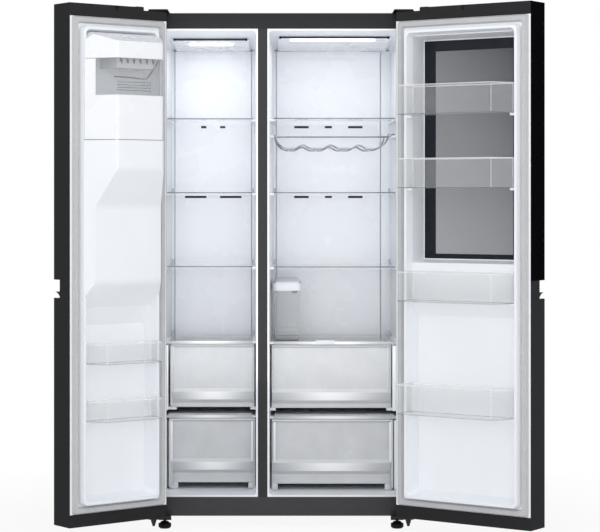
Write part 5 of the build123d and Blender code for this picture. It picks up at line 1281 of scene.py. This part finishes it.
# 1 for the rays that show the backdrop: straight ones, mirrored ones and those through glass
def backdropRays(tree):
    rays = addNode(tree, "ShaderNodeLightPath")
    seen = addNode(
        tree, "ShaderNodeMath", {"operation": "MAXIMUM"},
        {0: rays.outputs["Is Camera Ray"], 1: rays.outputs["Is Glossy Ray"]})
    return addNode(
        tree, "ShaderNodeMath", {"operation": "MAXIMUM"},
        {0: seen.outputs[0], 1: rays.outputs["Is Transmission Ray"]}).outputs[0]


softWhite = addNode(
    worldTree, "ShaderNodeBackground", {"Color": colour(0xFFFFFF), "Strength": studio["worldStrength"]})
plainWhite = addNode(worldTree, "ShaderNodeBackground", {"Color": colour(0xFFFFFF), "Strength": 1.0})
mixed = addNode(
    worldTree, "ShaderNodeMixShader",
    feeds={0: backdropRays(worldTree), 1: softWhite.outputs[0], 2: plainWhite.outputs[0]})
addNode(worldTree, "ShaderNodeOutputWorld", feeds={"Surface": mixed.outputs[0]})

floorMesh = bpy.data.meshes.new("studioFloor")
reach = studio["floorSize"] / 2
floorMesh.from_pydata(
    [(-reach, -reach, 0), (reach, -reach, 0), (reach, reach, 0), (-reach, reach, 0)], [], [(0, 1, 2, 3)])
floor = bpy.data.objects.new("studioFloor", floorMesh)
scene.collection.objects.link(floor)
floor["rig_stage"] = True
floorMaterial, floorTree, floorPlace = newMaterial("whiteSweep")
floorDistance = addNode(floorTree, "ShaderNodeVectorMath", {"operation": "LENGTH"}, {0: floorPlace})
floorShare = addNode(
    floorTree, "ShaderNodeMapRange",
    {"From Min": studio["shadowReach"][0], "From Max": studio["shadowReach"][1],
     "To Min": studio["shadowShare"], "To Max": 1.0},
    {"Value": floorDistance.outputs["Value"]})
floorSeen = addNode(
    floorTree, "ShaderNodeMath", {"operation": "MULTIPLY"},
    {0: floorShare.outputs["Result"], 1: backdropRays(floorTree)})
floorDiffuse = addNode(floorTree, "ShaderNodeBsdfDiffuse", {"Color": colour(studio["floorTone"])})
floorGlow = addNode(floorTree, "ShaderNodeEmission", {"Color": colour(0xFFFFFF), "Strength": 1.0})
floorMix = addNode(
    floorTree, "ShaderNodeMixShader",
    feeds={0: floorSeen.outputs[0], 1: floorDiffuse.outputs[0], 2: floorGlow.outputs[0]})
addNode(floorTree, "ShaderNodeOutputMaterial", feeds={"Surface": floorMix.outputs[0]})
floorMesh.materials.append(floorMaterial)


# an area light aimed at a point
def addLight(name, shape, place, aim, size, power):
    lamp = bpy.data.lights.new(name, "AREA")
    lamp.shape = shape
    lamp.size = size[0]
    if shape == "RECTANGLE":
        lamp.size_y = size[1]
    lamp.energy = power
    light = bpy.data.objects.new(name, lamp)
    light.location = place
    light.rotation_euler = (Vector(aim) - Vector(place)).to_track_quat("-Z", "Y").to_euler()
    scene.collection.objects.link(light)


for lightName, place, aim, size, power in studio["lights"]:
    addLight(lightName, "DISK", place, aim, (size,), power)
for compartment, power in studio["lampPower"].items():
    lensLow, lensHigh = lampSizes[compartment]["lens"]
    middle = Vector((
        (lensLow[0] + lensHigh[0]) / 2, (lensLow[1] + lensHigh[1]) / 2,
        lampUnderside(lensHigh[1]) - studio["lampDrop"]))
    addLight(
        compartment + "Lamp", "RECTANGLE", middle, middle + Vector(studio["lampAim"]),
        (lensHigh[0] - lensLow[0], lensHigh[1] - lensLow[1]), power)

for compartment, power in studio["fillPower"].items():
    innerLow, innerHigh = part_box(compartment + "_liner")
    place = Vector((
        (innerLow.x + innerHigh.x) / 2, innerLow.y - studio["fillDistance"],
        (studio["fillFrom"] + innerHigh.z) / 2))
    addLight(
        compartment + "Fill", "RECTANGLE", place, place + Vector((0, 1, 0)),
        (innerHigh.x - innerLow.x, innerHigh.z - studio["fillFrom"]), power)

imageWidth, imageHeight = studio["imageSize"]
lens = bpy.data.cameras.new("frontCamera")
lens.sensor_fit = "HORIZONTAL"
lens.sensor_width = 36.0
lens.lens = studio["focalPixels"] * lens.sensor_width / imageWidth
lens.shift_x = (imageWidth / 2 - studio["principalPoint"][0]) / imageWidth
lens.shift_y = (studio["principalPoint"][1] - imageHeight / 2) / imageWidth
lens.clip_end = 100.0
camera = bpy.data.objects.new("frontCamera", lens)
camera.location = studio["cameraPlace"]
camera.rotation_euler = (math.radians(90), 0.0, 0.0)
scene.collection.objects.link(camera)
scene.camera = camera
print("studio ready")

low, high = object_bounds()
